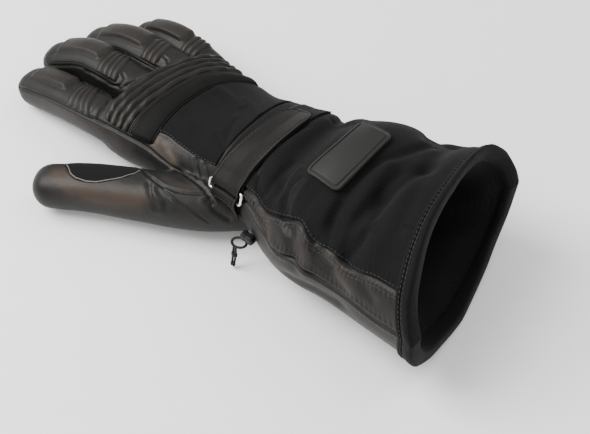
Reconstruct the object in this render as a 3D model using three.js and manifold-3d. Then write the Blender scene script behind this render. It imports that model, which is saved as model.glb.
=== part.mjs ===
import * as THREE from 'three';
import Module from 'manifold-3d';

const wasm = await Module();
wasm.setup();

// Driving sizes, millimetres
const LENGTH = 380;
const WIDTH = 150;
const HEIGHT = 110;
const FINGER_WIDTH = 30;
const FINGER_HEIGHT = 27;
const WALL = 3;
const LINING_WALL = 1.5;
const LINING_DEPTH = 5.6;
const PANEL = 1.5;
const GAP = 0.4;
const STRAP_WIDTH = 26.5;
const STRAP_THICKNESS = 1.4;
const LOOP_WIRE_RADIUS = 1.2;
const LOOP_WIDTH = 32;
const PLATE_THICKNESS = 2;
const PLATE_RIM = 2.7;
const HEM_WIDTH = 9;
const HEM_WALL = 1.4;
const GUARD_HEIGHT = 3.4;
const CORD_RADIUS = 0.9;
const PULL_HANG = 24;

// Mesh fineness
const AROUND = 30;
const FINGER_AROUND = 12;

// Stations along the hand and the gauntlet.
// x and the leans are shares of LENGTH, near, far and shear of WIDTH, low and high of HEIGHT.
const TRUNK_COLUMNS = [
  'x', 'near', 'far', 'low', 'high', 'square', 'leanTop', 'leanFar', 'leanNear', 'shear',
];
const TRUNK = [
  [-0.3105, -0.36, 0.35, 0.08, 0.405, 3.1, 0, 0.045, 0, 0],
  [-0.2763, -0.365, 0.36, 0.0182, 0.435, 3, 0, 0.026, 0, 0],
  [-0.2368, -0.36, 0.358, -0.008, 0.4455, 2.8, 0, 0.01, 0, 0],
  [-0.1895, -0.3467, 0.35, -0.008, 0.4545, 2.5, 0, 0, 0, 0],
  [-0.1316, -0.3333, 0.3233, -0.008, 0.4818, 2.4, 0, 0, 0, 0],
  [-0.0737, -0.3133, 0.2933, 0.0182, 0.5273, 2.3, 0, 0, 0, 0.0067],
  [-0.0211, -0.3067, 0.3, 0.0545, 0.5909, 2.2, 0, 0, 0, 0.0133],
  [0.0263, -0.32, 0.3033, 0.0636, 0.6455, 2.1, 0, 0, 0, 0.0133],
  [0.0737, -0.3533, 0.3033, 0.0364, 0.7273, 2.1, 0, 0, 0, 0.02],
  [0.1211, -0.4067, 0.3267, 0, 0.7455, 2.1, -0.0053, 0, 0, 0.0267],
  [0.1579, -0.4467, 0.3667, -0.008, 0.8273, 2.1, -0.0105, 0, 0, 0.0267],
  [0.2053, -0.4667, 0.4067, -0.008, 0.8818, 2.1, -0.0158, 0, 0, 0.0267],
  [0.2579, -0.4533, 0.44, -0.008, 0.8727, 2.1, -0.0158, 0, 0, 0.0267],
  [0.3026, -0.4533, 0.46, -0.008, 0.8727, 2.1, -0.0237, 0, 0.0015, 0.0267],
  [0.3553, -0.4667, 0.4867, -0.004, 0.9273, 2.1, -0.0342, -0.0053, 0.0069, 0.0267],
  [0.4395, -0.4867, 0.5, 0.02, 0.9909, 2.1, -0.0605, -0.0474, 0.0263, 0.0267],
];

// Centrelines of the fingers, base first.
// x is a share of LENGTH, y of WIDTH, z of HEIGHT, wide of FINGER_WIDTH / 2, tall of FINGER_HEIGHT / 2.
const FINGER_COLUMNS = ['x', 'y', 'z', 'wide', 'tall'];
const FINGERS = {
  index: [
    [-0.1954, -0.2225, 0.2, 1, 1.037],
    [-0.2513, -0.257, 0.2364, 1, 1],
    [-0.3267, -0.28, 0.2545, 1, 1],
    [-0.4141, -0.2805, 0.2091, 1, 1],
    [-0.504, -0.2824, 0.1364, 1, 0.926],
  ],
  middle: [
    [-0.2476, 0.0173, 0.2182, 1, 1.037],
    [-0.3077, -0.0308, 0.2636, 1, 1],
    [-0.376, -0.049, 0.2818, 1, 1],
    [-0.4502, -0.0488, 0.2455, 1, 1],
    [-0.5175, -0.0848, 0.1636, 1, 0.926],
  ],
  ring: [
    [-0.2196, 0.2249, 0.2182, 0.967, 1],
    [-0.2771, 0.1752, 0.2636, 0.967, 1],
    [-0.3488, 0.1522, 0.2818, 0.967, 1],
    [-0.4263, 0.1488, 0.2455, 0.967, 0.963],
    [-0.4925, 0.13, 0.1636, 0.967, 0.889],
  ],
  little: [
    [-0.16, 0.2, 0.19, 0.8, 0.9],
    [-0.2352, 0.298, 0.2182, 0.8, 0.926],
    [-0.305, 0.323, 0.2455, 0.787, 0.926],
    [-0.3795, 0.3295, 0.2273, 0.787, 0.889],
    [-0.4368, 0.3255, 0.1636, 0.787, 0.852],
  ],
  thumb: [
    [0.045, -0.15, 0.19, 1.2, 1.15],
    [-0.0467, -0.352, 0.2, 1.267, 1.3],
    [-0.1424, -0.4903, 0.1909, 1.167, 1.222],
    [-0.2271, -0.6018, 0.1727, 1.1, 1.111],
    [-0.2831, -0.6912, 0.1545, 1.033, 1.037],
  ],
};

// Main folds and dents of the gauntlet and wrist: a line from one point to another,
// x and width as shares of LENGTH, angles in degrees, lift in millimetres (dents are negative).
const FOLD_COLUMNS = ['x1', 'angle1', 'x2', 'angle2', 'width', 'lift'];
const FOLDS = [
  [0.321, 48, 0.345, 85, 0.022, -4],
  [0.345, 85, 0.316, 112, 0.02, -4],
  [0.316, 112, 0.29, 140, 0.018, -3],
  [0.268, 150, 0.32, 126, 0.016, 2.5],
  [0.12, 128, 0.2, 152, 0.018, -2.5],
  [0.105, 60, 0.105, 118, 0.018, -2],
  [0.205, 196, 0.3, 190, 0.022, -2],
  [-0.04, 85, -0.06, 130, 0.014, -1],
  [0.086, 22, 0.096, 56, 0.013, -4],
  [0.128, 30, 0.128, 60, 0.018, 3.5],
  [0.255, 28, 0.28, 50, 0.02, -4.5],
];

// Panel edges of the gauntlet: x as a share of LENGTH, angles in degrees.
const SEAM_COLUMNS = ['x', 'textileEdge', 'leatherEdge'];
const SEAMS = [
  [0.06, 154, 166],
  [0.09, 154, 168],
  [0.135, 152, 170],
  [0.176, 149, 176],
  [0.213, 147, 174],
  [0.24, 153, 177],
  [0.287, 152, 177],
  [0.311, 155, 177],
  [0.38, 153, 180],
  [0.44, 153, 178],
];
const FAR_EDGE = 372;

const rad = (degrees) => (degrees * Math.PI) / 180;
const clamp = (v, low, high) => Math.min(high, Math.max(low, v));
const signedPower = (v, power) => Math.sign(v) * Math.abs(v) ** power;
const mix = (a, b, t) => a + (b - a) * t;
const steps = (from, to, count) => Array.from({ length: count + 1 }, (_, i) => mix(from, to, i / count));

// A smooth curve through a column of values
function spline(xs, ys) {
  const slopes = xs.slice(1).map((x, i) => (ys[i + 1] - ys[i]) / (x - xs[i]));
  const tangents = xs.map((_, i) => {
    if (i === 0) return slopes[0];
    if (i === xs.length - 1) return slopes[i - 1];
    const before = xs[i] - xs[i - 1];
    const after = xs[i + 1] - xs[i];
    return (slopes[i - 1] * after + slopes[i] * before) / (before + after);
  });
  return (value) => {
    let i = 0;
    while (i < xs.length - 2 && value > xs[i + 1]) i += 1;
    const h = xs[i + 1] - xs[i];
    const t = clamp((value - xs[i]) / h, 0, 1);
    const t2 = t * t;
    const t3 = t2 * t;
    return (2 * t3 - 3 * t2 + 1) * ys[i] + (t3 - 2 * t2 + t) * h * tangents[i]
      + (3 * t2 - 2 * t3) * ys[i + 1] + (t3 - t2) * h * tangents[i + 1];
  };
}

function columnsOf(names, rows, keys, scale) {
  const result = {};
  names.forEach((name, i) => {
    result[name] = spline(keys, rows.map((row) => row[i] * (scale[name] ?? 1)));
  });
  return result;
}

const trunkScale = {
  x: LENGTH, leanTop: LENGTH, leanFar: LENGTH, leanNear: LENGTH,
  near: WIDTH, far: WIDTH, shear: WIDTH, low: HEIGHT, high: HEIGHT,
};
const trunk = columnsOf(TRUNK_COLUMNS, TRUNK, TRUNK.map((row) => row[0] * LENGTH), trunkScale);
const seams = columnsOf(SEAM_COLUMNS, SEAMS, SEAMS.map((row) => row[0] * LENGTH), { x: LENGTH });
const folds = FOLDS.map((row) => Object.fromEntries(FOLD_COLUMNS.map((name, i) => [name, row[i]])));

// Height of the folds at a place on the gauntlet
function foldLift(x, angle) {
  const perDegree = (WIDTH / 2) * rad(1);
  const dy = (a, b) => (a - b) * perDegree;
  let lift = 0;
  for (const fold of folds) {
    const ax = fold.x1 * LENGTH;
    const bx = fold.x2 * LENGTH;
    const lengthY = dy(fold.angle2, fold.angle1);
    const span = (bx - ax) ** 2 + lengthY ** 2;
    const t = clamp(((x - ax) * (bx - ax) + dy(angle, fold.angle1) * lengthY) / span, 0, 1);
    const away = Math.hypot(x - mix(ax, bx, t), dy(angle, fold.angle1) - t * lengthY);
    lift += fold.lift * Math.exp(-((away / (fold.width * LENGTH)) ** 2));
  }
  return lift;
}

// A point on the hand and gauntlet: angle 0 is the little-finger side, 90 the back of the hand,
// 180 the thumb side and 270 the palm. The palm side is flat where it rests.
function trunkPoint(x, angle, offset, plain = false) {
  const c = Math.cos(rad(angle));
  const s = Math.sin(rad(angle));
  const power = 2 / trunk.square(x);
  const across = signedPower(c, power);
  const upward = signedPower(s, power);
  const grow = offset + (plain ? 0 : foldLift(x, angle));
  const near = trunk.near(x);
  const far = trunk.far(x);
  const low = trunk.low(x);
  const high = trunk.high(x);
  const lean = trunk.leanTop(x) * Math.max(upward, 0) + trunk.leanFar(x) * Math.max(across, 0)
    + trunk.leanNear(x) * Math.max(-across, 0);
  return [
    x + lean,
    (near + far) / 2 + ((far - near) / 2 + grow) * across + trunk.shear(x) * upward,
    Math.max((low + high) / 2 + ((high - low) / 2 + grow) * upward, -Math.min(offset, 0)),
  ];
}

// A finger with its measured centreline and sections
function makeFinger(rows, square) {
  const points = rows.map((row) => [row[0] * LENGTH, row[1] * WIDTH, row[2] * HEIGHT]);
  const keys = [0];
  for (let i = 1; i < points.length; i += 1) {
    keys.push(keys[i - 1] + Math.hypot(...points[i].map((v, k) => v - points[i - 1][k])));
  }
  const scaled = rows.map((row) => [
    row[0] * LENGTH, row[1] * WIDTH, row[2] * HEIGHT, row[3] * FINGER_WIDTH / 2, row[4] * FINGER_HEIGHT / 2,
  ]);
  const at = columnsOf(FINGER_COLUMNS, scaled, keys, {});
  const straight = keys[keys.length - 1];
  return { at, straight, cap: scaled[scaled.length - 1][3], square };
}

function fingerPoint(finger, along, angle, offset) {
  const { at, straight } = finger;
  const d = Math.min(along, straight);
  const centre = new THREE.Vector3(at.x(d), at.y(d), at.z(d));
  const before = Math.max(d - 0.5, 0);
  const after = Math.min(d + 0.5, straight);
  const direction = new THREE.Vector3(
    at.x(after) - at.x(before), at.y(after) - at.y(before), at.z(after) - at.z(before),
  ).normalize();
  const cap = clamp((along - straight) / finger.cap, 0, 1);
  const shrink = Math.sqrt(Math.max(0, 1 - cap ** 2.4));
  const side = new THREE.Vector3(0, 0, 1).cross(direction).normalize();
  const up = new THREE.Vector3().crossVectors(side, direction).normalize();
  if (up.z < 0) up.negate();
  const power = 2 / finger.square;
  const across = signedPower(Math.cos(rad(angle)), power) * (at.wide(d) + offset) * shrink;
  const upward = signedPower(Math.sin(rad(angle)), power) * (at.tall(d) + offset) * shrink;
  centre.addScaledVector(direction, cap * (finger.cap + offset));
  centre.addScaledVector(side, -across);
  centre.addScaledVector(up, upward);
  return [centre.x, centre.y, Math.max(centre.z, -Math.min(offset, 0))];
}

// Closed shapes from rows of points
function newShape() {
  return { points: [], triangles: [] };
}

function addRow(shape, row) {
  const start = shape.points.length;
  shape.points.push(...row);
  return start;
}

function stitch(shape, a, b, count, closed) {
  const last = closed ? count : count - 1;
  for (let i = 0; i < last; i += 1) {
    const j = (i + 1) % count;
    shape.triangles.push([a + i, b + i, b + j], [a + i, b + j, a + j]);
  }
}

function fan(shape, start, count, outward) {
  const middle = [0, 1, 2].map((k) => {
    let total = 0;
    for (let i = 0; i < count; i += 1) total += shape.points[start + i][k];
    return total / count;
  });
  const centre = addRow(shape, [middle]);
  for (let i = 0; i < count; i += 1) {
    const j = (i + 1) % count;
    shape.triangles.push(outward ? [centre, start + i, start + j] : [centre, start + j, start + i]);
  }
}

// A solid bar through closed rings
function plug(rings) {
  const shape = newShape();
  const count = rings[0].length;
  const starts = rings.map((ring) => addRow(shape, ring));
  for (let i = 1; i < starts.length; i += 1) stitch(shape, starts[i - 1], starts[i], count, true);
  fan(shape, starts[0], count, true);
  fan(shape, starts[starts.length - 1], count, false);
  return shape;
}

// A ring of a closed section carried round a closed path: sections[i] are closed rows
function hoop(sections) {
  const shape = newShape();
  const count = sections[0].length;
  const starts = sections.map((row) => addRow(shape, row));
  starts.forEach((start, i) => stitch(shape, start, starts[(i + 1) % starts.length], count, true));
  return shape;
}

// An open tube with a wall: outer and inner rings with free edges at both ends
function sleeve(outer, inner) {
  const sections = outer[0].map((_, k) => [
    ...outer.map((ring) => ring[k]),
    ...inner.map((ring) => ring[k]).reverse(),
  ]);
  return hoop(sections);
}

// A flat piece with a top and a bottom face: rows of points
function slab(top, bottom) {
  const shape = newShape();
  const count = top[0].length;
  const rows = top.length;
  const upper = top.map((row) => addRow(shape, row));
  const lower = bottom.map((row) => addRow(shape, row));
  for (let i = 1; i < rows; i += 1) {
    stitch(shape, upper[i - 1], upper[i], count, false);
    stitch(shape, lower[i], lower[i - 1], count, false);
  }
  for (let i = 1; i < rows; i += 1) {
    for (const [k, flip] of [[0, true], [count - 1, false]]) {
      const quad = [upper[i - 1] + k, upper[i] + k, lower[i] + k, lower[i - 1] + k];
      const [a, b, c, d] = flip ? quad.slice().reverse() : quad;
      shape.triangles.push([a, b, c], [a, c, d]);
    }
  }
  for (const [row, flip] of [[0, false], [rows - 1, true]]) {
    for (let k = 1; k < count; k += 1) {
      const quad = [upper[row] + k - 1, upper[row] + k, lower[row] + k, lower[row] + k - 1];
      const [a, b, c, d] = flip ? quad.slice().reverse() : quad;
      shape.triangles.push([a, b, c], [a, c, d]);
    }
  }
  return shape;
}

function volume(shape) {
  let total = 0;
  for (const [a, b, c] of shape.triangles) {
    const [p, q, r] = [shape.points[a], shape.points[b], shape.points[c]];
    total += p[0] * (q[1] * r[2] - q[2] * r[1]) + p[1] * (q[2] * r[0] - q[0] * r[2])
      + p[2] * (q[0] * r[1] - q[1] * r[0]);
  }
  return total / 6;
}

function outwards(shape) {
  if (volume(shape) < 0) shape.triangles.forEach((triangle) => triangle.reverse());
  return shape;
}

function solid(shape) {
  outwards(shape);
  return new wasm.Manifold(new wasm.Mesh({
    numProp: 3,
    vertProperties: new Float32Array(shape.points.flat()),
    triVerts: new Uint32Array(shape.triangles.flat()),
  }));
}

function geometryOf(points, triangles) {
  const geometry = new THREE.BufferGeometry();
  geometry.setAttribute('position', new THREE.BufferAttribute(new Float32Array(points), 3));
  geometry.setIndex(triangles);
  geometry.computeVertexNormals();
  return geometry;
}

const glove = new THREE.Group();
glove.name = 'heated_glove';

function addPiece(name, colour, roughness, metalness, geometry) {
  const material = new THREE.MeshStandardMaterial({ color: colour, roughness, metalness });
  const mesh = new THREE.Mesh(geometry, material);
  mesh.name = name;
  glove.add(mesh);
}

function addShape(name, colour, roughness, metalness, shape) {
  outwards(shape);
  addPiece(name, colour, roughness, metalness, geometryOf(shape.points.flat(), shape.triangles.flat()));
}

function addSolid(name, colour, roughness, metalness, body) {
  const mesh = body.getMesh();
  const points = [];
  for (let i = 0; i < mesh.numVert; i += 1) {
    for (let k = 0; k < 3; k += 1) points.push(mesh.vertProperties[i * mesh.numProp + k]);
  }
  addPiece(name, colour, roughness, metalness, geometryOf(points, Array.from(mesh.triVerts)));
}

const LEATHER = 0x2b2927;
const TEXTILE = 0x1d1d1f;
const RUBBER = 0x33332f;
const METAL = 0xb8b8b4;
const LINING = 0x19191b;

// Hand shell
const angles = Array.from({ length: AROUND }, (_, i) => (i * 360) / AROUND);
const trunkRing = (x, offset, plain) => angles.map((angle) => trunkPoint(x, angle, offset, plain));
const FRONT = TRUNK[0][0] * LENGTH;
const WRIST = 0.058 * LENGTH;
const HAND_SHARES = [-0.2763, -0.2368, -0.1895, -0.145, -0.105, -0.07, -0.035, 0, 0.03];
const handStations = [FRONT, ...HAND_SHARES.map((share) => share * LENGTH), WRIST];

function handBlock(offset, reach) {
  const stations = [...handStations.slice(0, -1), WRIST + reach];
  stations[0] -= offset;
  return plug(stations.map((x) => trunkRing(x, offset)));
}

const FINGER_PARTS = [0, 0.2, 0.4, 0.6, 0.8, 1];
const CAP_PARTS = [0.42, 0.74, 0.95];

function fingerBlock(finger, offset, base = 0) {
  const stations = [
    ...FINGER_PARTS.map((part) => mix(base, 1, part) * finger.straight),
    ...CAP_PARTS.map((part) => finger.straight + part * finger.cap),
  ];
  const around = Array.from({ length: FINGER_AROUND }, (_, i) => (i * 360) / FINGER_AROUND);
  return plug(stations.map((along) => around.map((angle) => fingerPoint(finger, along, angle, offset))));
}

const fingers = Object.fromEntries(
  Object.entries(FINGERS).map(([name, rows]) => [name, makeFinger(rows, name === 'thumb' ? 2.4 : 2.5)]),
);
const handOuter = solid(handBlock(0, 0));
const handClear = solid(handBlock(GAP, WALL * 4));
let hand = handOuter.subtract(solid(handBlock(-WALL, WALL * 4)));
for (const name of Object.keys(fingers)) {
  hand = hand.subtract(solid(fingerBlock(fingers[name], -WALL)));
}
addSolid('hand_shell', LEATHER, 0.55, 0, hand);

// Places of the wrist strap, its loop and its tab
// Its middle as a share of LENGTH, at angles in degrees
const STRAP_COLUMNS = ['angle', 'x'];
const STRAP_ROUTE = [
  [40, 0.0276], [96, 0.0276], [119, 0.0208], [135, 0.0145],
  [150, 0.0116], [160, 0.0116], [172, 0.0124], [196, 0.018],
];
const strapRoute = columnsOf(STRAP_COLUMNS, STRAP_ROUTE, STRAP_ROUTE.map((row) => row[0]), { x: LENGTH });
const turn = LOOP_WIRE_RADIUS + GAP + STRAP_THICKNESS / 2;
const BAR_ANGLE = 160;
const barAt = strapRoute.x(BAR_ANGLE);
const atBar = (angle) => new THREE.Vector3(...trunkPoint(barAt, angle, 0, true));
const millimetresPerDegree = atBar(BAR_ANGLE - 1).distanceTo(atBar(BAR_ANGLE + 1)) / 2;
const TAB_BAR_ANGLE = 172;
const layer = GAP + STRAP_THICKNESS / 2;
const TAB_REACH = 22;
const TAB_WIDTH = STRAP_WIDTH * 0.92;

// A place on the strap's bed: part is -1 to 1 across the strap.
// The bed is straight either side of the middle.
function strapBed(part, angle, offset) {
  const at = strapRoute.x(angle);
  const middle = trunkPoint(at, angle, offset, true);
  const edge = trunkPoint(at + Math.sign(part || 1) * (STRAP_WIDTH / 2), angle, offset, true);
  return middle.map((v, k) => mix(v, edge[k], Math.abs(part)));
}

// Room that the thumb leaves for the loop and the tab of the strap
const tabRoomWidth = LOOP_WIDTH + 2 * LOOP_WIRE_RADIUS + 2 * GAP;
const tabRoomRow = (offset) => steps(-0.5, 0.5, 4).map((part) => (
  steps(BAR_ANGLE - 4, TAB_BAR_ANGLE + TAB_REACH + 2, 5).map((angle) => (
    trunkPoint(strapRoute.x(angle) + part * tabRoomWidth, angle, offset, true)
  ))
));
const tabRoom = solid(slab(tabRoomRow(2 * turn + layer + STRAP_WIDTH / 4), tabRoomRow(-WALL / 2)));

// Finger and thumb stalls, each clear of the hand and of the finger before it
let before = null;
for (const [name, finger] of Object.entries(fingers)) {
  let stall = solid(fingerBlock(finger, 0)).subtract(solid(fingerBlock(finger, -WALL))).subtract(handClear);
  if (before && name !== 'thumb') stall = stall.subtract(solid(fingerBlock(before, GAP)));
  if (name === 'thumb') stall = stall.subtract(tabRoom);
  const bodies = stall.decompose().sort((a, b) => b.volume() - a.volume());
  addSolid(`${name}_stall`, LEATHER, 0.55, 0, bodies[0]);
  before = finger;
}

// Back pieces of the fingers: a padded box near the tip, then fine ridges across.
// Rear and front of the box are shares of the finger.
const PADS = {
  index: [0.68, 0.985],
  middle: [0.585, 0.95],
  ring: [0.545, 0.93],
  little: [0.63, 0.95],
};
const PAD_HEIGHT = 2.2;
const PAD_SLOPE = 0.02;
const RIDGE_HEIGHT = 1.4;
const RIDGE_STEP = 0.03;
const VALLEY_HEIGHT = 0.5;
const backAngles = [52, 70, 90, 110, 128];
const PAD_SEAT = GAP * 1.8;
for (const [name, [rear, front]] of Object.entries(PADS)) {
  const finger = fingers[name];
  const behind = (count) => rear - PAD_SLOPE - count * RIDGE_STEP;
  const joints = FINGER_PARTS.filter((share) => share > rear + PAD_SLOPE && share < front - PAD_SLOPE);
  const stations = [
    [front + PAD_SLOPE / 2, VALLEY_HEIGHT], [front - PAD_SLOPE, PAD_HEIGHT * 0.9],
    ...joints.reverse().map((share) => [share, PAD_HEIGHT]),
    [rear + PAD_SLOPE, PAD_HEIGHT], [behind(0), VALLEY_HEIGHT],
    [behind(1), RIDGE_HEIGHT], [behind(2), VALLEY_HEIGHT],
    [behind(3), RIDGE_HEIGHT], [behind(4), VALLEY_HEIGHT],
  ];
  const row = (share, height) => backAngles.map((angle, i) => {
    const edge = i === 0 || i === backAngles.length - 1;
    return fingerPoint(finger, share * finger.straight, angle, PAD_SEAT + (edge ? PANEL / 3 : height));
  });
  const top = stations.map(([share, height]) => row(share, height));
  const bottom = stations.map(([share]) => (
    backAngles.map((angle) => fingerPoint(finger, share * finger.straight, angle, PAD_SEAT))
  ));
  addShape(`${name}_back_pad`, LEATHER, 0.5, 0, slab(top, bottom));
}

// Thumb insert of textile on the back of the thumb
const insertShares = [0.46, 0.55, 0.66, 0.78, 0.9, 0.99];
const insertHalf = [8, 24, 32, 34, 32, 20];
const insertRow = (i, offset) => [-1, -0.5, 0, 0.5, 1].map((k) => (
  fingerPoint(fingers.thumb, insertShares[i] * fingers.thumb.straight, 78 + k * insertHalf[i], offset)
));
addShape('thumb_insert', TEXTILE, 0.85, 0, slab(
  insertShares.map((_, i) => insertRow(i, PAD_SEAT + PANEL * 0.7)),
  insertShares.map((_, i) => insertRow(i, PAD_SEAT)),
));

// Pieces laid on the back of the hand: rows go round the hand, columns along it
const BACK_PANEL_COLUMNS = ['angle', 'ribFront', 'guardFront', 'guardRear', 'panelRear'];
const BACK_PANEL = [
  [32, -0.262, -0.16, -0.128, -0.042],
  [46, -0.274, -0.178, -0.142, -0.042],
  [64, -0.288, -0.2, -0.164, -0.043],
  [82, -0.298, -0.216, -0.18, -0.045],
  [100, -0.303, -0.225, -0.186, -0.046],
  [118, -0.303, -0.227, -0.184, -0.047],
  [136, -0.298, -0.226, -0.181, -0.048],
  [150, -0.29, -0.225, -0.179, -0.049],
];
const edges = columnsOf(
  BACK_PANEL_COLUMNS, BACK_PANEL, BACK_PANEL.map((row) => row[0]),
  { ribFront: LENGTH, guardFront: LENGTH, guardRear: LENGTH, panelRear: LENGTH },
);
const acrossBack = steps(32, 150, 11);

function laidPiece(rows, columns, xAt, heightAt) {
  const line = (angle, offsetAt) => steps(0, 1, columns).map((t) => (
    trunkPoint(xAt(angle, t), angle, offsetAt(t, angle), true)
  ));
  return slab(
    rows.map((angle) => line(angle, (t) => GAP + heightAt(t, angle))),
    rows.map((angle) => line(angle, () => GAP)),
  );
}

const RIBS = 4;
const ribColumns = RIBS * 4;
addShape('knuckle_panel', LEATHER, 0.5, 0, laidPiece(
  steps(38, 148, 7), ribColumns,
  (angle, t) => mix(edges.ribFront(angle), edges.guardFront(angle) - 1.5 * GAP, t),
  (t) => PANEL * (0.7 + 1.2 * Math.sin(Math.PI * RIBS * t) ** 2),
));
const GUARD_ENDS = [33, 149];
const onGuardEdge = (t, angle) => t === 0 || t === 1 || angle < GUARD_ENDS[0] || angle > GUARD_ENDS[1];
addShape('knuckle_guard', LEATHER, 0.45, 0, laidPiece(
  acrossBack, 4,
  (angle, t) => mix(edges.guardFront(angle), edges.guardRear(angle), t),
  (t, angle) => (onGuardEdge(t, angle) ? PANEL * 0.6 : GUARD_HEIGHT * Math.sin(Math.PI * t)),
));
addShape('back_panel', TEXTILE, 0.85, 0, laidPiece(
  steps(34, 134, 8), 6,
  (angle, t) => mix(edges.guardRear(angle) + 1.5 * GAP, edges.panelRear(angle), t),
  () => PANEL,
));

// Gauntlet: textile top, leather side and leather underside, edge to edge
const MOUTH = TRUNK[TRUNK.length - 1][0] * LENGTH;
const SHELL_END = MOUTH - HEM_WALL - GAP;
const gauntletStations = [
  WRIST + GAP, ...[0.08, 0.1, 0.122, 0.145, 0.17, 0.2, 0.23, 0.258, 0.282, 0.302, 0.32, 0.338, 0.36, 0.39]
    .map((share) => share * LENGTH),
  MOUTH - HEM_WIDTH, SHELL_END,
];
const slit = (GAP / (WIDTH / 2)) * (90 / Math.PI) * 1.4;

function gauntletPanel(from, to, columns) {
  const row = (x, offset) => steps(0, 1, columns).map((t) => (
    trunkPoint(x, mix(from(x) + slit, to(x) - slit, t), offset)
  ));
  return slab(gauntletStations.map((x) => row(x, 0)), gauntletStations.map((x) => row(x, -WALL)));
}

addShape('gauntlet_top', TEXTILE, 0.85, 0, gauntletPanel(() => FAR_EDGE - 360, seams.textileEdge, 14));
addShape('gauntlet_side', LEATHER, 0.5, 0, gauntletPanel(seams.textileEdge, seams.leatherEdge, 3));
addShape('gauntlet_underside', LEATHER, 0.55, 0, gauntletPanel(seams.leatherEdge, () => FAR_EDGE, 14));

// Lining of the gauntlet, seen in the mouth
const LINING_ROWS = [
  [WRIST + WALL, 8], [0.12 * LENGTH, 11], [0.21 * LENGTH, 12], [0.3 * LENGTH, 14], [0.36 * LENGTH, 12],
  [MOUTH - HEM_WIDTH, LINING_DEPTH + 0.4], [SHELL_END, LINING_DEPTH],
];
addShape('cuff_lining', LINING, 0.9, 0, sleeve(
  LINING_ROWS.map(([x, depth]) => trunkRing(x, -depth, true)),
  LINING_ROWS.map(([x, depth]) => trunkRing(x, -depth - LINING_WALL, true)),
));

// Binding folded over the edge of the mouth
const hemInner = -LINING_DEPTH - LINING_WALL - GAP;
const hemStart = MOUTH - HEM_WIDTH;
addShape('hem_binding', TEXTILE, 0.85, 0, hoop(angles.map((angle) => [
  [hemStart, GAP], [hemStart, GAP + HEM_WALL], [MOUTH, GAP + HEM_WALL],
  [MOUTH, hemInner - HEM_WALL], [hemStart, hemInner - HEM_WALL], [hemStart, hemInner],
  [SHELL_END + GAP, hemInner], [SHELL_END + GAP, GAP],
].map(([x, offset]) => trunkPoint(x, angle, offset, true)))));

// Label plate with a raised rim
const PLATE_COLUMNS = ['angle', 'front', 'rear'];
const PLATE = [
  [69, 0.166, 0.24],
  [81, 0.171, 0.244],
  [93, 0.173, 0.246],
  [105, 0.168, 0.245],
  [116, 0.162, 0.241],
];
// Degrees that the rear edge lies nearer the thumb side than the front edge
const PLATE_TURN = 4.5;
const plate = columnsOf(
  PLATE_COLUMNS, PLATE, PLATE.map((row) => row[0]), { front: LENGTH, rear: LENGTH },
);
const plateFrom = PLATE[0][0];
const plateTo = PLATE[PLATE.length - 1][0];
const plateMiddle = (plateFrom + plateTo) / 2;
const rimPart = PLATE_RIM / (plate.rear(plateMiddle) - plate.front(plateMiddle));
const rimTurn = PLATE_RIM / (rad(1) * (HEIGHT * 0.45 + WIDTH * 0.45) / 2);
const plateAngles = [
  plateFrom, plateFrom + rimTurn, plateFrom + 2 * rimTurn, ...steps(plateMiddle - 14, plateMiddle + 14, 4),
  plateTo - 2 * rimTurn, plateTo - rimTurn, plateTo,
];
const plateParts = [0, rimPart, 2 * rimPart, 0.5, 1 - 2 * rimPart, 1 - rimPart, 1];
const plateOn = (x, angle, offset) => trunkPoint(x, angle, offset + 0.6);
const plateRow = (angle, heightAt) => plateParts.map((t) => (
  plateOn(mix(plate.front(angle), plate.rear(angle), t), angle + PLATE_TURN * t, GAP + heightAt(t))
));
const isRim = (t, angle) => (
  Math.min(t, 1 - t) < 1.5 * rimPart || Math.min(angle - plateFrom, plateTo - angle) < 1.5 * rimTurn
);
addShape('label_plate', RUBBER, 0.6, 0, slab(
  plateAngles.map((angle) => plateRow(angle, (t) => PLATE_THICKNESS * (isRim(t, angle) ? 1.3 : 0.8))),
  plateAngles.map((angle) => plateRow(angle, () => 0)),
));

// Wrist strap: a band that runs under itself, turns round the loop's bar and lies back on itself
// The path of a band in degrees and millimetres off the glove, first the lower layer, then the upper one
function bandPath(barAngle, direction, lowerReach, upperReach) {
  const perStep = 9;
  const path = [];
  const degrees = (mm) => mm / millimetresPerDegree;
  for (const t of steps(0, 1, Math.ceil(lowerReach / perStep))) {
    path.push([barAngle - direction * mix(lowerReach, 1, t), layer]);
  }
  for (const a of steps(-72, 72, 4)) {
    path.push([
      barAngle + direction * degrees(turn * Math.cos(rad(a))),
      layer + turn * (1 + Math.sin(rad(a))),
    ]);
  }
  for (const t of steps(0, 1, Math.ceil(upperReach / perStep))) {
    const reach = mix(1, upperReach, t);
    const settle = clamp((reach - 1) / 14, 0, 1);
    const height = mix(layer + 2 * turn, 2 * layer + STRAP_THICKNESS / 2, settle);
    path.push([barAngle - direction * reach, height]);
  }
  return path;
}

function band(path, partAt) {
  const half = STRAP_THICKNESS / 2;
  const side = path.map(([angle, offset], i) => {
    const a = path[Math.max(i - 1, 0)];
    const b = path[Math.min(i + 1, path.length - 1)];
    const run = [(b[0] - a[0]) * millimetresPerDegree, b[1] - a[1]];
    const length = Math.hypot(...run);
    return [-run[1] / length, run[0] / length];
  });
  const rows = (sign) => path.map(([angle, offset], i) => [-1, 0, 1].map((k) => strapBed(
    k * partAt(i / (path.length - 1)),
    angle + (sign * side[i][0] * half) / millimetresPerDegree,
    offset + sign * side[i][1] * half,
  )));
  return slab(rows(1), rows(-1));
}

function roundEnd(share, reach) {
  const past = Math.max(0, share - 1 + reach) / reach;
  return Math.sqrt(Math.max(0.08, 1 - past ** 2));
}

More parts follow.
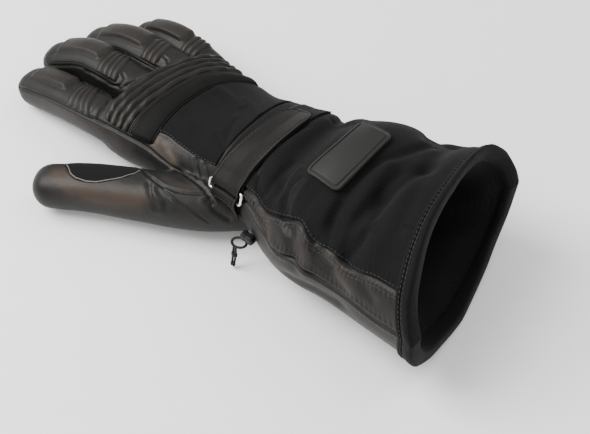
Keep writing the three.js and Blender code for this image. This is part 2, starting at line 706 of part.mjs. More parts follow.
addShape('wrist_strap', LEATHER, 0.5, 0, band(
  bandPath(BAR_ANGLE, 1, 118, 108),
  (share) => roundEnd(share, 0.1),
));
addShape('strap_tab', LEATHER, 0.5, 0, band(
  bandPath(TAB_BAR_ANGLE, -1, TAB_REACH / 2, TAB_REACH),
  () => TAB_WIDTH / STRAP_WIDTH,
));

// Metal loop between the strap and the tab
const loopOffset = layer + turn;
const loopHalf = LOOP_WIDTH / 2;
const loopPath = [
  [-1, BAR_ANGLE, 0.9], [1, BAR_ANGLE, 0.9], [1, BAR_ANGLE, 1], [1, TAB_BAR_ANGLE, 1],
  [1, TAB_BAR_ANGLE, 0.9], [-1, TAB_BAR_ANGLE, 0.9], [-1, TAB_BAR_ANGLE, 1], [-1, BAR_ANGLE, 1],
];
const loopMiddle = (BAR_ANGLE + TAB_BAR_ANGLE) / 2;
const loopCorners = loopPath.map(([sign, angle, width]) => {
  const inset = width === 1 ? 0.78 : 1;
  return [sign * loopHalf * (width === 1 ? 1 : 0.93), loopMiddle + (angle - loopMiddle) * inset];
});
const loopCentres = loopCorners.flatMap(([x, angle], i) => {
  const next = loopCorners[(i + 1) % loopCorners.length];
  const long = Math.abs(next[0] - x) > loopHalf;
  const parts = long ? 4 : 1;
  return Array.from({ length: parts }, (_, k) => new THREE.Vector3(...strapBed(
    mix(x, next[0], k / parts) / (STRAP_WIDTH / 2), mix(angle, next[1], k / parts), loopOffset,
  )));
});

function wire(centres, radius, sides, closed) {
  const sections = centres.map((centre, i) => {
    const count = centres.length;
    const a = centres[closed ? (i + count - 1) % count : Math.max(i - 1, 0)];
    const b = centres[closed ? (i + 1) % count : Math.min(i + 1, count - 1)];
    return { centre, direction: new THREE.Vector3().subVectors(b, a).normalize() };
  });
  const mean = centres.reduce((sum, p) => sum.add(p), new THREE.Vector3()).divideScalar(centres.length);
  let plane = new THREE.Vector3();
  for (let i = 0; i < centres.length; i += 1) {
    const p = centres[i].clone().sub(mean);
    const q = centres[(i + 1) % centres.length].clone().sub(mean);
    plane.add(p.cross(q));
  }
  plane = plane.lengthSq() < 1e-6 ? new THREE.Vector3(0, 1, 0) : plane.normalize();
  const rows = sections.map(({ centre, direction }) => {
    const u = new THREE.Vector3().crossVectors(plane, direction).normalize();
    const v = new THREE.Vector3().crossVectors(direction, u).normalize();
    return Array.from({ length: sides }, (_, k) => {
      const a = (2 * Math.PI * k) / sides;
      return centre.clone()
        .addScaledVector(u, radius * Math.cos(a))
        .addScaledVector(v, radius * Math.sin(a))
        .toArray();
    });
  });
  return closed ? hoop(rows) : plug(rows);
}

addShape('strap_loop', METAL, 0.25, 0.9, wire(loopCentres, LOOP_WIRE_RADIUS, 8, true));

// Pull at the wrist: a slider on the underside seam, a cord loop through it and a hanging tab
const pullX = 0.087 * LENGTH;
const PULL_ANGLE = 196;
// How far the panel's flat facets lie inside its curve under the slider
const PULL_SINK = 1;
const sliderHalf = [5, 3, 3.5];
const pullBase = trunkPoint(pullX, PULL_ANGLE, 0);
const pullSeat = Math.min(...steps(-1, 1, 6).flatMap((u) => steps(170, 230, 12)
  .map((angle) => trunkPoint(pullX + u * sliderHalf[0], angle, 0))
  .filter((point) => Math.abs(point[2] - pullBase[2]) < sliderHalf[2])
  .map((point) => point[1])));
const sliderAt = new THREE.Vector3(pullBase[0], pullSeat + PULL_SINK - sliderHalf[1] - GAP / 4, pullBase[2]);
const sliderRing = (share, z) => [
  [-1, -0.6], [-0.6, -1], [0.6, -1], [1, -0.6], [1, 0.6], [0.6, 1], [-0.6, 1], [-1, 0.6],
].map(([u, v]) => [
  sliderAt.x + u * sliderHalf[0] * share,
  sliderAt.y + v * sliderHalf[1] * share,
  sliderAt.z + z * sliderHalf[2],
]);
addShape('pull_slider', RUBBER, 0.5, 0, plug([
  sliderRing(0.8, -1), sliderRing(1, -0.7), sliderRing(1, 0.7), sliderRing(0.8, 1),
]));

const cordTop = sliderAt.z - sliderHalf[2] - CORD_RADIUS - GAP;
const cordHeight = 5.5;
const cordCentres = Array.from({ length: 12 }, (_, i) => {
  const a = (2 * Math.PI * i) / 12;
  return new THREE.Vector3(
    sliderAt.x - 4 + 5 * Math.cos(a),
    sliderAt.y,
    cordTop - cordHeight / 2 + (cordHeight / 2) * Math.sin(a),
  );
});
addShape('pull_loop', 0x101012, 0.4, 0, wire(cordCentres, CORD_RADIUS, 6, true));

const tabTop = cordTop - cordHeight - CORD_RADIUS - GAP;
const tabRadius = 1.5;
const tabX = sliderAt.x - 4;
const tabRing = (share, z) => Array.from({ length: 8 }, (_, k) => {
  const a = (2 * Math.PI * k) / 8;
  return [tabX + share * tabRadius * Math.cos(a), sliderAt.y + share * tabRadius * Math.sin(a), z];
});
const tabBottom = Math.max(tabTop - PULL_HANG, 1);
addShape('pull_tab', 0x1b1b1d, 0.5, 0, plug([
  tabRing(0.6, tabBottom), tabRing(1, tabBottom + 1), tabRing(1, tabTop - 1), tabRing(0.6, tabTop),
]));

// The glove stands with the middle of its footprint at the origin
const bounds = new THREE.Box3().setFromObject(glove);
const shift = bounds.getCenter(new THREE.Vector3());
for (const mesh of glove.children) {
  mesh.geometry.translate(-shift.x, -shift.y, -bounds.min.z);
}

export default glove;
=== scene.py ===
import math

import bpy
import bmesh
import numpy as np
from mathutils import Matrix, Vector
from mathutils.bvhtree import BVHTree


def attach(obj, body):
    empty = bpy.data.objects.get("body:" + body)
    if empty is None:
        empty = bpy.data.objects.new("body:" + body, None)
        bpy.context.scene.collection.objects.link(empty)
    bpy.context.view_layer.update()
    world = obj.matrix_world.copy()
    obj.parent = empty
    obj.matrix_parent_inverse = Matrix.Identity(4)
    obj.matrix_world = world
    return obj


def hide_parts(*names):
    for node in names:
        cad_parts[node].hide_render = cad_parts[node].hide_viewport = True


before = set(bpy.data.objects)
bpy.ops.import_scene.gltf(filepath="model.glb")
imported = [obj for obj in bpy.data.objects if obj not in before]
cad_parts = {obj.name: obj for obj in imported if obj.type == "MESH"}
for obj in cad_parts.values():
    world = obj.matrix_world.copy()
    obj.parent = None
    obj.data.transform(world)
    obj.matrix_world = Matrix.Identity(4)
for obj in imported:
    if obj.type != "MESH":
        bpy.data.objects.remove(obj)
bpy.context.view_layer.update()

scene = bpy.context.scene

# Camera
# The photograph's angle, seen through a long lens from a little under a metre away.
CAMERA_TURN, CAMERA_RISE = math.radians(40.6), math.radians(49.2)
CAMERA_AWAY = 0.9142
CAMERA_TARGET = Vector((0.04452, 0.0161, -0.0009))
LENS, SENSOR = 80.0, 36.0
PICTURE_WIDTH, PICTURE_HEIGHT = 590, 434
backwards = Vector((math.sin(CAMERA_TURN) * math.cos(CAMERA_RISE),
                    -math.cos(CAMERA_TURN) * math.cos(CAMERA_RISE), math.sin(CAMERA_RISE)))
rightwards = Vector((math.cos(CAMERA_TURN), math.sin(CAMERA_TURN), 0))
upwards = backwards.cross(rightwards)
camera_data = bpy.data.cameras.new("camera")
camera_data.lens = LENS
camera_data.sensor_width = SENSOR
camera_data.clip_end = 20.0


def placed(name, data):
    """Puts an object with this data in the scene."""
    made = bpy.data.objects.new(name, data)
    scene.collection.objects.link(made)
    return made


camera = placed("camera", camera_data)
scene.camera = camera
camera.location = CAMERA_TARGET + backwards * CAMERA_AWAY
camera.rotation_euler = backwards.to_track_quat("Z", "Y").to_euler()


def seen_on(surface, pixels):
    """Points where the photograph's pixels meet a surface, in metres."""
    focal = PICTURE_WIDTH * LENS / SENSOR
    hits = []
    for u, v in pixels:
        way = (rightwards * (u - PICTURE_WIDTH / 2) + upwards * (PICTURE_HEIGHT / 2 - v)
               - backwards * focal).normalized()
        hit = surface.ray_cast(camera.location, way)[0]
        if hit is not None:
            hits.append(tuple(hit))
    return np.array(hits)


# Floor and light
# A pale paper floor, a broad soft lamp high on the left as in the photograph, and two weaker ones.
def new_material(name):
    material = bpy.data.materials.new(name)
    material.use_nodes = True
    return material, material.node_tree, material.node_tree.nodes["Principled BSDF"]


def add(tree, kind, inputs, **settings):
    """A new node with these settings, and a value or a link at each of the named inputs."""
    node = tree.nodes.new(kind)
    for key, value in settings.items():
        setattr(node, key, value)
    for key, value in inputs.items():
        if isinstance(value, bpy.types.NodeSocket):
            tree.links.new(value, node.inputs[key])
        else:
            node.inputs[key].default_value = value
    return node


def noise(tree, place, scale, detail=4.0, roughness=0.6):
    inputs = {"Scale": scale, "Detail": detail, "Roughness": roughness, "Vector": place}
    return add(tree, "ShaderNodeTexNoise", inputs).outputs["Fac"]


def ramp(tree, value, stops):
    node = add(tree, "ShaderNodeValToRGB", {"Fac": value})
    for element, (place, colour) in zip(node.color_ramp.elements, stops):
        element.position = place
        element.color = (colour, colour, colour, 1) if isinstance(colour, float) else (*colour, 1)
    return node.outputs["Color"]


def raised(tree, shader, layers):
    """Bumps the shader's surface by layers of height field, strength and distance in metres."""
    inputs = {}
    for height, strength, distance in layers:
        inputs.update({"Strength": strength, "Distance": distance, "Height": height})
        inputs["Normal"] = add(tree, "ShaderNodeBump", inputs).outputs["Normal"]
    tree.links.new(inputs["Normal"], shader.inputs["Normal"])


def smooth_stuff(name, colour, spread, roughness, metal=0.0, bump=0.2, scale=300.0, gloss=0.5):
    """Moulded, metal or thread finish: slight mottling of colour and gloss, and a faint grain."""
    material, tree, shader = new_material(name)
    field = noise(tree, tree.nodes.new("ShaderNodeTexCoord").outputs["Object"], scale)
    low = tuple(max(v - spread, 0.0) for v in colour)
    high = tuple(v + spread for v in colour)
    tree.links.new(ramp(tree, field, [(0.3, low), (0.7, high)]), shader.inputs["Base Color"])
    tree.links.new(ramp(tree, field, [(0.3, roughness - 0.05), (0.7, roughness + 0.06)]),
                   shader.inputs["Roughness"])
    shader.inputs["Metallic"].default_value = metal
    shader.inputs["Specular IOR Level"].default_value = gloss
    raised(tree, shader, [(field, bump, 0.0003)])
    return material


FLOOR_HALF = 3.0
# Each lamp's place and size in metres, and its power in watts
LAMPS = [("key_lamp", (-0.8, -0.55, 1.25), 1.1, 50), ("side_lamp", (0.5, -1.3, 1.0), 1.2, 8),
         ("rear_lamp", (0.4, 1.0, 1.5), 1.2, 10)]
LAMP_TARGET = Vector((0.02, 0, 0.03))
SKY_STRENGTH = 0.85
floor_mesh = bpy.data.meshes.new("floor")
corners = [(x * FLOOR_HALF, y * FLOOR_HALF, 0) for x, y in ((-1, -1), (1, -1), (1, 1), (-1, 1))]
floor_mesh.from_pydata(corners, [], [(0, 1, 2, 3)])
floor_mesh.materials.append(smooth_stuff("floor_paper", (0.86, 0.86, 0.855), 0.008, 0.8, 0.0, 0.05, 40.0))
floor = placed("floor", floor_mesh)
for name, place, size, power in LAMPS:
    lamp_data = bpy.data.lights.new(name, "AREA")
    lamp_data.size = size
    lamp_data.energy = power
    lamp = placed(name, lamp_data)
    lamp.location = place
    lamp.rotation_euler = (Vector(place) - LAMP_TARGET).to_track_quat("Z", "Y").to_euler()
world = bpy.data.worlds.new("world")
scene.world = world
world.use_nodes = True
world.node_tree.nodes["Background"].inputs["Color"].default_value = (1.0, 1.0, 1.0, 1)
world.node_tree.nodes["Background"].inputs["Strength"].default_value = SKY_STRENGTH


# Hand skin
# Palm, sides, and finger and thumb stalls: soft black goatskin over padding, cut as a back and a palm
# and joined by turned seams. The solid forms are united, softened at the crotches, then seamed and creased.
SHIFT = np.array([17.3202, 21.301, 0.0])
# Stations in millimetres: x, thumb side, little-finger side, low, high, squareness, leans and shear
STATIONS = np.array([
    [-118.0, -54.0, 52.5, 8.8, 44.6, 3.1, 0, 17.1, 0, 0],
    [-105.0, -54.75, 54.0, 2.0, 47.85, 3.0, 0, 9.9, 0, 0],
    [-90.0, -54.0, 53.7, -0.9, 49.0, 2.8, 0, 3.8, 0, 0],
    [-72.0, -52.0, 52.5, -0.9, 50.0, 2.5, 0, 0, 0, 0],
    [-50.0, -50.0, 48.5, -0.9, 53.0, 2.4, 0, 0, 0, 0],
    [-28.0, -47.0, 44.0, 2.0, 58.0, 2.3, 0, 0, 0, 1],
    [-8.0, -46.0, 45.0, 6.0, 65.0, 2.2, 0, 0, 0, 2],
    [10.0, -48.0, 45.5, 7.0, 71.0, 2.1, 0, 0, 0, 2],
    [28.0, -53.0, 45.5, 4.0, 80.0, 2.1, 0, 0, 0, 3],
    [46.0, -61.0, 49.0, 0.0, 82.0, 2.1, -2, 0, 0, 4],
    [60.0, -67.0, 55.0, -0.9, 91.0, 2.1, -4, 0, 0, 4],
    [78.0, -70.0, 61.0, -0.9, 97.0, 2.1, -6, 0, 0, 4],
    [98.0, -68.0, 66.0, -0.9, 96.0, 2.1, -6, 0, 0, 4],
    [115.0, -68.0, 69.0, -0.9, 96.0, 2.1, -9, 0, 0.6, 4],
    [135.0, -70.0, 73.0, -0.4, 102.0, 2.1, -13, -2, 2.6, 4],
    [167.0, -73.0, 75.0, 2.2, 109.0, 2.1, -23, -18, 10, 4],
])
# Centrelines from the base, in millimetres: x, y, z, half width, half height
FINGERS = {
    "index": [[-74.25, -33.38, 22.0, 15, 14.0], [-95.49, -38.55, 26.0, 15, 13.5],
              [-124.15, -42.0, 28.0, 15, 13.5], [-157.36, -42.08, 23.0, 15, 13.5],
              [-191.52, -42.36, 15.0, 15, 12.5]],
    "middle": [[-94.09, 2.6, 24.0, 15, 14.0], [-116.93, -4.62, 29.0, 15, 13.5],
               [-142.88, -7.35, 31.0, 15, 13.5], [-171.08, -7.32, 27.0, 15, 13.5],
               [-196.65, -12.72, 18.0, 15, 12.5]],
    "ring": [[-83.45, 33.74, 24.0, 14.5, 13.5], [-105.3, 26.28, 29.0, 14.5, 13.5],
             [-132.54, 22.83, 31.0, 14.5, 13.5], [-161.99, 22.32, 27.0, 14.5, 13.0],
             [-187.15, 19.5, 18.0, 14.5, 12.0]],
    "little": [[-60.8, 30.0, 20.9, 12, 12.2], [-89.38, 44.7, 24.0, 12, 12.5],
               [-115.9, 48.45, 27.0, 11.8, 12.5], [-144.21, 49.43, 25.0, 11.8, 12.0],
               [-165.98, 48.83, 18.0, 11.8, 11.5]],
    "thumb": [[17.1, -22.5, 20.9, 18, 15.5], [-17.75, -52.8, 22.0, 19, 17.55],
              [-54.11, -73.55, 21.0, 17.5, 16.5], [-86.3, -90.27, 19.0, 16.5, 15.0],
              [-107.58, -103.68, 17.0, 15.5, 14.0]],
}
CUFF_START = 22.04
TRUNK_END = 29
SKIN_VOXEL, SKIN_PASSES = 0.0011, 20
HIDDEN_SEAM_DEPTH, PLAIN_WEAR = 0.0009, 0.12
# Seams and creases as the photograph shows them, in its pixels: width and depth in millimetres
SKIN_LINES = [
    ([(19, 87), (30, 90.5), (45, 96), (58, 102.5), (70, 108), (100, 122), (128, 136.5), (148, 148),
      (160.8, 158.8), (175.4, 169), (190, 177.9), (201.8, 186.7), (208, 194), (213, 204)], 0.9, 1.5),
    ([(141.5, 169.5), (149, 176.4), (160.8, 184.5), (174, 190.3), (188.6, 193.3), (206, 194)], 0.8, 1.2),
    ([(152, 177.9), (160.8, 185.9), (168.1, 194), (178.4, 202.8), (193, 211.6), (207.7, 221.8)], 0.8, 1.0),
    ([(66.9, 164.5), (69.9, 172), (75.7, 177.1), (86, 180.5), (96.2, 181.1), (108, 179.3), (122.6, 176.4),
      (134.4, 172.7), (140.5, 169.2)], 0.8, 0.9),
    ([(97.6, 119.1), (99.8, 113.1), (106.3, 103.4), (113, 96.6), (127.4, 85), (142.7, 76.5), (161.9, 68.3),
      (184.8, 60.7), (201, 58.3), (214, 57.2), (224, 57.5)], 0.9, 1.4),
    ([(84, 70.5), (93, 74.5), (104, 81.2), (115, 86), (121.5, 84), (124.5, 79), (121.5, 72.5)], 0.7, 1.0),
    ([(133, 52), (146, 60), (156, 66.5), (163, 68), (168, 64.5), (167, 59.5), (161, 55)], 0.7, 1.0),
    ([(183, 45.5), (194, 54.5), (203, 59), (209, 56.5), (206, 50.5), (199, 46)], 0.6, 0.9),
    ([(149, 183.7), (150, 191), (151.5, 198.4), (156.4, 207.2)], 1.6, 1.0),
    ([(157.9, 189.6), (162.5, 194.5), (166.6, 199.8), (165.2, 208.6)], 1.8, 0.8),
    ([(207.7, 201.3), (215, 210.1), (229, 219.5)], 1.6, 1.3),
    ([(196, 160), (197, 169), (197.5, 178)], 1.3, 0.8),
    ([(205, 165), (207, 174), (208.5, 184)], 1.2, 0.8),
    ([(169, 150), (176, 160), (180, 168)], 2.6, 0.5),
]
# Soft rounded ridges, in the same terms
SKIN_RIDGES = [
    ([(97, 79), (108.3, 83), (115, 84.3), (120.7, 81.5), (122, 77.4), (118.5, 73)], 0.9, 0.5),
    ([(135, 51), (147, 57.5), (156.1, 63.6), (162.5, 65.5), (165.7, 62.5), (163.5, 58.5)], 0.9, 0.5),
    ([(152.5, 185), (154, 194), (158.5, 203)], 1.6, 0.7),
    ([(200.5, 163), (201.5, 172), (203, 182)], 1.2, 0.7),
    ([(192, 158), (192.8, 166), (194, 173)], 1.4, 0.5),
    ([(163, 143), (170, 156), (173, 163)], 3.0, 0.5),
]
# Places that rubbing has turned brown: a line in pixels, its half width in millimetres, and its strength
RUBBED = [
    ([(58, 176), (75, 188), (95, 195), (118, 199), (136, 200)], 8.0, 0.9),
    ([(155, 141), (164, 149), (172, 158)], 6.0, 0.85),
    ([(45, 103), (70, 117), (100, 132), (130, 148)], 5.0, 0.35),
    ([(165, 179), (180, 186), (195, 190)], 4.0, 0.3),
]


def spread(*values):
    """Arrays of one shape from numbers and arrays."""
    return np.broadcast_arrays(*(np.asarray(value, float) for value in values))


def run_of(line):
    """The distance along a polyline at each of its points."""
    return np.r_[0, np.cumsum(np.linalg.norm(np.diff(line, axis=0), axis=1))]


def curve_at(keys, values, at):
    """A smooth curve through rows of values, read at the given places."""
    keys, values = np.asarray(keys, float), np.asarray(values, float)
    at = np.clip(np.asarray(at, float), keys[0], keys[-1])
    step = np.diff(keys)
    slope = np.diff(values, axis=0) / step.reshape(-1, *([1] * (values.ndim - 1)))
    tangent = np.empty_like(values)
    tangent[0], tangent[-1] = slope[0], slope[-1]
    for k in range(1, len(keys) - 1):
        tangent[k] = (slope[k - 1] * step[k] + slope[k] * step[k - 1]) / (step[k - 1] + step[k])
    i = np.clip(np.searchsorted(keys, at, side="right") - 1, 0, len(keys) - 2)
    t, h = (at - keys[i]) / step[i], step[i]
    if values.ndim > 1:
        t, h = t[..., None], h[..., None]
    t2, t3 = t * t, t * t * t
    return ((2 * t3 - 3 * t2 + 1) * values[i] + (t3 - 2 * t2 + t) * h * tangent[i]
            + (3 * t2 - 2 * t3) * values[i + 1] + (t3 - t2) * h * tangent[i + 1])


def signed_power(value, power):
    return np.sign(value) * np.abs(value) ** power


def trunk_at(x, angle, offset=0.0, lift=0.0):
    """Hand and gauntlet: angle 0 is the little-finger side, 90 the back, 180 the thumb side, 270 the palm."""
    x, angle, offset, lift = spread(x, angle, offset, lift)
    row = curve_at(STATIONS[:, 0], STATIONS[:, 1:], x)
    near, far, low, high, square, lean_top, lean_far, lean_near, shear = np.moveaxis(row, -1, 0)
    across = signed_power(np.cos(np.radians(angle)), 2 / square)
    upward = signed_power(np.sin(np.radians(angle)), 2 / square)
    grow = offset + lift
    y = (near + far) / 2 + ((far - near) / 2 + grow) * across + shear * upward
    z = (low + high) / 2 + ((high - low) / 2 + grow) * upward
    lean = (lean_top * np.maximum(upward, 0) + lean_far * np.maximum(across, 0)
            + lean_near * np.maximum(-across, 0))
    return np.stack([x + lean, y, np.maximum(z, -np.minimum(offset, 0))], -1)


def finger_length(name):
    return np.linalg.norm(np.diff(np.array(FINGERS[name])[:, :3], axis=0), axis=1).sum()


def finger_at(name, along, angle, offset=0.0):
    rows = np.array(FINGERS[name], float)
    keys = run_of(rows[:, :3])
    straight, cap_size = keys[-1], rows[-1, 3]
    along, angle, offset = spread(along, angle, offset)
    at = np.minimum(along, straight)
    row = curve_at(keys, rows, at)
    way = (curve_at(keys, rows[:, :3], np.minimum(at + 0.5, straight))
           - curve_at(keys, rows[:, :3], np.maximum(at - 0.5, 0)))
    way /= np.linalg.norm(way, axis=-1, keepdims=True)
    cap = np.clip((along - straight) / cap_size, 0, 1)
    shrink = np.sqrt(np.maximum(0, 1 - cap ** 2.4))
    side = np.cross(np.array([0, 0, 1.0]), way)
    side /= np.linalg.norm(side, axis=-1, keepdims=True)
    up = np.cross(side, way)
    up *= np.sign(up[..., 2:3])
    power = 2 / (2.4 if name == "thumb" else 2.5)
    across = signed_power(np.cos(np.radians(angle)), power) * (row[..., 3] + offset) * shrink
    upward = signed_power(np.sin(np.radians(angle)), power) * (row[..., 4] + offset) * shrink
    point = (row[..., :3] + way * (cap * (cap_size + offset))[..., None]
             - side * across[..., None] + up * upward[..., None])
    point[..., 2] = np.maximum(point[..., 2], -np.minimum(offset, 0))
    return point


def in_row(points):
    return (np.asarray(points, float) + SHIFT) / 1000.0


def grid_faces(rows, columns, closed=False, start=0):
    i = np.arange(rows - 1)[:, None]
    j = np.arange(columns if closed else columns - 1)[None, :]
    a, b = i * columns + j, i * columns + (j + 1) % columns
    return np.stack([a, b, b + columns, a + columns], -1).reshape(-1, 4) + start


def tube_faces(rings, around, start=0):
    """Faces of a closed tube: its rings, then the middle of its first end and of its last."""
    first, last = start + rings * around, start + rings * around + 1
    tail = start + (rings - 1) * around
    faces = grid_faces(rings, around, True, start).tolist()
    faces += [[first, start + (k + 1) % around, start + k] for k in range(around)]
    faces += [[last, tail + k, tail + (k + 1) % around] for k in range(around)]
    return faces


def shaded_smooth(mesh):
    mesh.polygons.foreach_set("use_smooth", np.ones(len(mesh.polygons), bool))
    return mesh


def new_mesh(name, points, faces):
    mesh = bpy.data.meshes.new(name)
    mesh.from_pydata(np.asarray(points).reshape(-1, 3).tolist(), [],
                     faces.tolist() if isinstance(faces, np.ndarray) else faces)
    form = bmesh.new()
    form.from_mesh(mesh)
    bmesh.ops.recalc_face_normals(form, faces=form.faces)
    form.to_mesh(mesh)
    form.free()
    return shaded_smooth(mesh)


def dressed(mesh, name, material, nodes=()):
    """Puts a finished mesh in the scene as a piece of the glove."""
    mesh.name = name
    mesh.materials.clear()
    mesh.materials.append(material)
    piece = placed(name, mesh)
    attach(piece, "root")
    if nodes:
        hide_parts(*nodes)
    return piece


def evaluated(source):
    """The mesh that an object's modifiers make of it; the object itself goes."""
    mesh = bpy.data.meshes.new_from_object(source.evaluated_get(bpy.context.evaluated_depsgraph_get()))
    bpy.data.objects.remove(source)
    return shaded_smooth(mesh)


def united(forms, voxel, passes):
    """One skin round several closed forms, softened where they meet."""
    points, faces, start = [], [], 0
    for rings in forms:
        ends = np.stack([rings[0].mean(0), rings[-1].mean(0)])
        points.append(np.concatenate([rings.reshape(-1, 3), ends]))
        faces += tube_faces(*rings.shape[:2], start)
        start += len(points[-1])
    source = placed("forms", new_mesh("forms", in_row(np.concatenate(points)), faces))
    remesh = source.modifiers.new("remesh", "REMESH")
    remesh.mode = "VOXEL"
    remesh.voxel_size = voxel
    soften = source.modifiers.new("soften", "SMOOTH")
    soften.factor = 0.5
    soften.iterations = passes
    return evaluated(source)


def hand_forms(offset):
    turns = np.arange(0, 360, 3.0)
    forms = [trunk_at(np.arange(STATIONS[0, 0] - offset, TRUNK_END, 2.0)[:, None], turns[None, :], offset)]
    for name, rows in FINGERS.items():
        full, cap_size = finger_length(name), rows[-1][3]
        along = np.r_[np.arange(0, full, 2.0), full,
                      full + cap_size * np.array([0.15, 0.3, 0.45, 0.6, 0.72, 0.82, 0.9, 0.96, 0.99])]
        forms.append(finger_at(name, along[:, None], turns[None, :], offset))
    return forms


def arrays_of(mesh):
    points, normals = np.empty(len(mesh.vertices) * 3), np.empty(len(mesh.vertices) * 3)
    mesh.vertices.foreach_get("co", points)
    mesh.vertices.foreach_get("normal", normals)
    return points.reshape(-1, 3), normals.reshape(-1, 3)


def spaced(line, step=0.0006):
    """A polyline with a point at every step, smoothed a little."""
    keys = run_of(line)
    keep = np.r_[True, np.diff(keys) > 1e-6]
    keys, line = keys[keep], line[keep]
    at = np.linspace(0, keys[-1], max(int(keys[-1] / step), 3) + 1)
    return curve_at(keys, line, at)


def away_from(points, line):
    """Distance of each point from a polyline, or 1 metre where it is far."""
    away = np.full(len(points), 1.0)
    reach = 0.025
    near = np.where(((points > line.min(0) - reach) & (points < line.max(0) + reach)).all(1))[0]
    for start in range(0, len(near), 3000):
        part = near[start:start + 3000]
        away[part] = np.sqrt(((points[part][:, None] - line[None]) ** 2).sum(-1).min(1))
    return away


def away_from_seen(points, surface, pixels):
    """Distance of each point from a line seen in the photograph."""
    return away_from(points, spaced(seen_on(surface, pixels)))


def bell(away, width):
    return np.exp(-(away / (width / 1000.0)) ** 2)


def mark(mesh, name, values):
    attribute = mesh.attributes.get(name) or mesh.attributes.new(name, "FLOAT", "POINT")
    attribute.data.foreach_set("value", np.clip(np.asarray(values, float), 0, 1).ravel())


def tree_of(mesh):
    form = bmesh.new()
    form.from_mesh(mesh)
    surface = BVHTree.FromBMesh(form)
    form.free()
    return surface


def calculate(tree, operation, *values):
    return add(tree, "ShaderNodeMath", dict(enumerate(values)), operation=operation).outputs[0]


def weighed(tree, *parts):
    """The sum of several fields, each times its share."""
    total = None
    for field, share in parts:
        part = calculate(tree, "MULTIPLY", field, share)
        total = part if total is None else calculate(tree, "ADD", total, part)
    return total


def mixed(tree, amount, first, second):
    colours = [(*value, 1) if isinstance(value, tuple) else value for value in (first, second)]
    inputs = {"Factor": amount, 6: colours[0], 7: colours[1]}
    return add(tree, "ShaderNodeMix", inputs, data_type="RGBA").outputs[2]


def marked(tree, name):
    """The values that a mesh carries under this name."""
    return add(tree, "ShaderNodeAttribute", {}, attribute_name=name).outputs["Fac"]


def leather(name, dark, light, worn, roughness=0.48, wear=0.7, gloss=0.2):
    """Goatskin: fine pebble grain, cloudy colour, brown where it is rubbed, and painted shade that darkens it
    almost to black in the seams, creases and grooves.
    """
    material, tree, shader = new_material(name)
    place = tree.nodes.new("ShaderNodeTexCoord").outputs["Object"]
    pebbles = {"Scale": 950, "Vector": place}
    grain = add(tree, "ShaderNodeTexVoronoi", pebbles, feature="SMOOTH_F1").outputs["Distance"]
    cloud = noise(tree, place, 26, 5)
    blotch = noise(tree, place, 95, 4)
    fine = noise(tree, place, 620, 3)
    base = ramp(tree, weighed(tree, (cloud, 0.7), (blotch, 0.3)), [(0.32, dark), (0.68, light)])
    patchy = calculate(tree, "MULTIPLY", marked(tree, "wear"), calculate(tree, "ADD", blotch, 0.35))
    colour = mixed(tree, ramp(tree, patchy, [(0.15, 0.0), (0.75, wear)]), base, worn)
    # Painted shade: the mark read here darkens the colour towards near black in seams, creases and grooves.
    shaded = calculate(tree, "MULTIPLY", marked(tree, "seam_shade"), 0.85)
    tree.links.new(mixed(tree, shaded, colour, (0.0012, 0.0012, 0.0012)), shader.inputs["Base Color"])
    polish = weighed(tree, (fine, 0.16), (blotch, 0.12))
    tree.links.new(calculate(tree, "ADD", polish, roughness - 0.14), shader.inputs["Roughness"])
    shader.inputs["Specular IOR Level"].default_value = gloss
    raised(tree, shader, [(blotch, 0.22, 0.0014), (grain, 0.3, 0.0003), (fine, 0.16, 0.0003)])
    return material


LEATHER = leather("hand_leather", (0.0042, 0.004, 0.0037), (0.0105, 0.0098, 0.0088), (0.042, 0.029, 0.021))
skin_mesh = united(hand_forms(0.0), SKIN_VOXEL, SKIN_PASSES)
skin_surface = tree_of(skin_mesh)
points, normals = arrays_of(skin_mesh)
move, seam_shade_mark, wear_mark = np.zeros(len(points)), np.zeros(len(points)), np.zeros(len(points))
for pixels, width, depth in SKIN_LINES:
    away = away_from_seen(points, skin_surface, pixels)
    move -= depth / 1000 * bell(away, width)
    move += 0.22 * depth / 1000 * bell(away - 2.6 * width / 1000, 1.2 * width)
    # Narrow seams and creases also get painted shade along them.
    if width < 1.15:
        seam_shade_mark = np.maximum(seam_shade_mark, bell(away, 0.75 * width))
for pixels, width, height in SKIN_RIDGES:
    move += height / 1000 * bell(away_from_seen(points, skin_surface, pixels), width)
for pixels, width, strength in RUBBED:
    wear_mark += strength * bell(away_from_seen(points, skin_surface, pixels), width)
# Seams that the photograph doesn't show, between the fingers and round the palm, each with painted shade
# along it
hidden_seams = []
for name in ("index", "middle", "ring", "little"):
    for side in ((28, 24), (152, 158)):
        if name == "index" and side[0] > 90:
            continue
        share = np.linspace(0.34 if name != "little" or side[0] > 90 else 0.05, 1.06, 40)
        hidden_seams.append(in_row(finger_at(name, share * finger_length(name), np.linspace(*side, 40))))
hidden_seams.append(in_row(trunk_at(np.linspace(-60, 20, 60), 8)))
for line in hidden_seams:
    away = away_from(points, spaced(line))
    move -= HIDDEN_SEAM_DEPTH * bell(away, 0.9)
    seam_shade_mark = np.maximum(seam_shade_mark, 0.8 * bell(away, 0.7))
points += normals * move[:, None]
points[:, 2] = np.maximum(points[:, 2], 0.0)
skin_mesh.vertices.foreach_set("co", points.ravel())
skin_mesh.update()
# This mark holds the painted shade in the seams and creases.
mark(skin_mesh, "seam_shade", seam_shade_mark)
mark(skin_mesh, "wear", wear_mark + PLAIN_WEAR)


def cut_beyond(mesh, x):
    form = bmesh.new()
    form.from_mesh(mesh)
    bmesh.ops.delete(form, geom=[v for v in form.verts if v.co.x > x], context="VERTS")
    form.to_mesh(mesh)
    form.free()


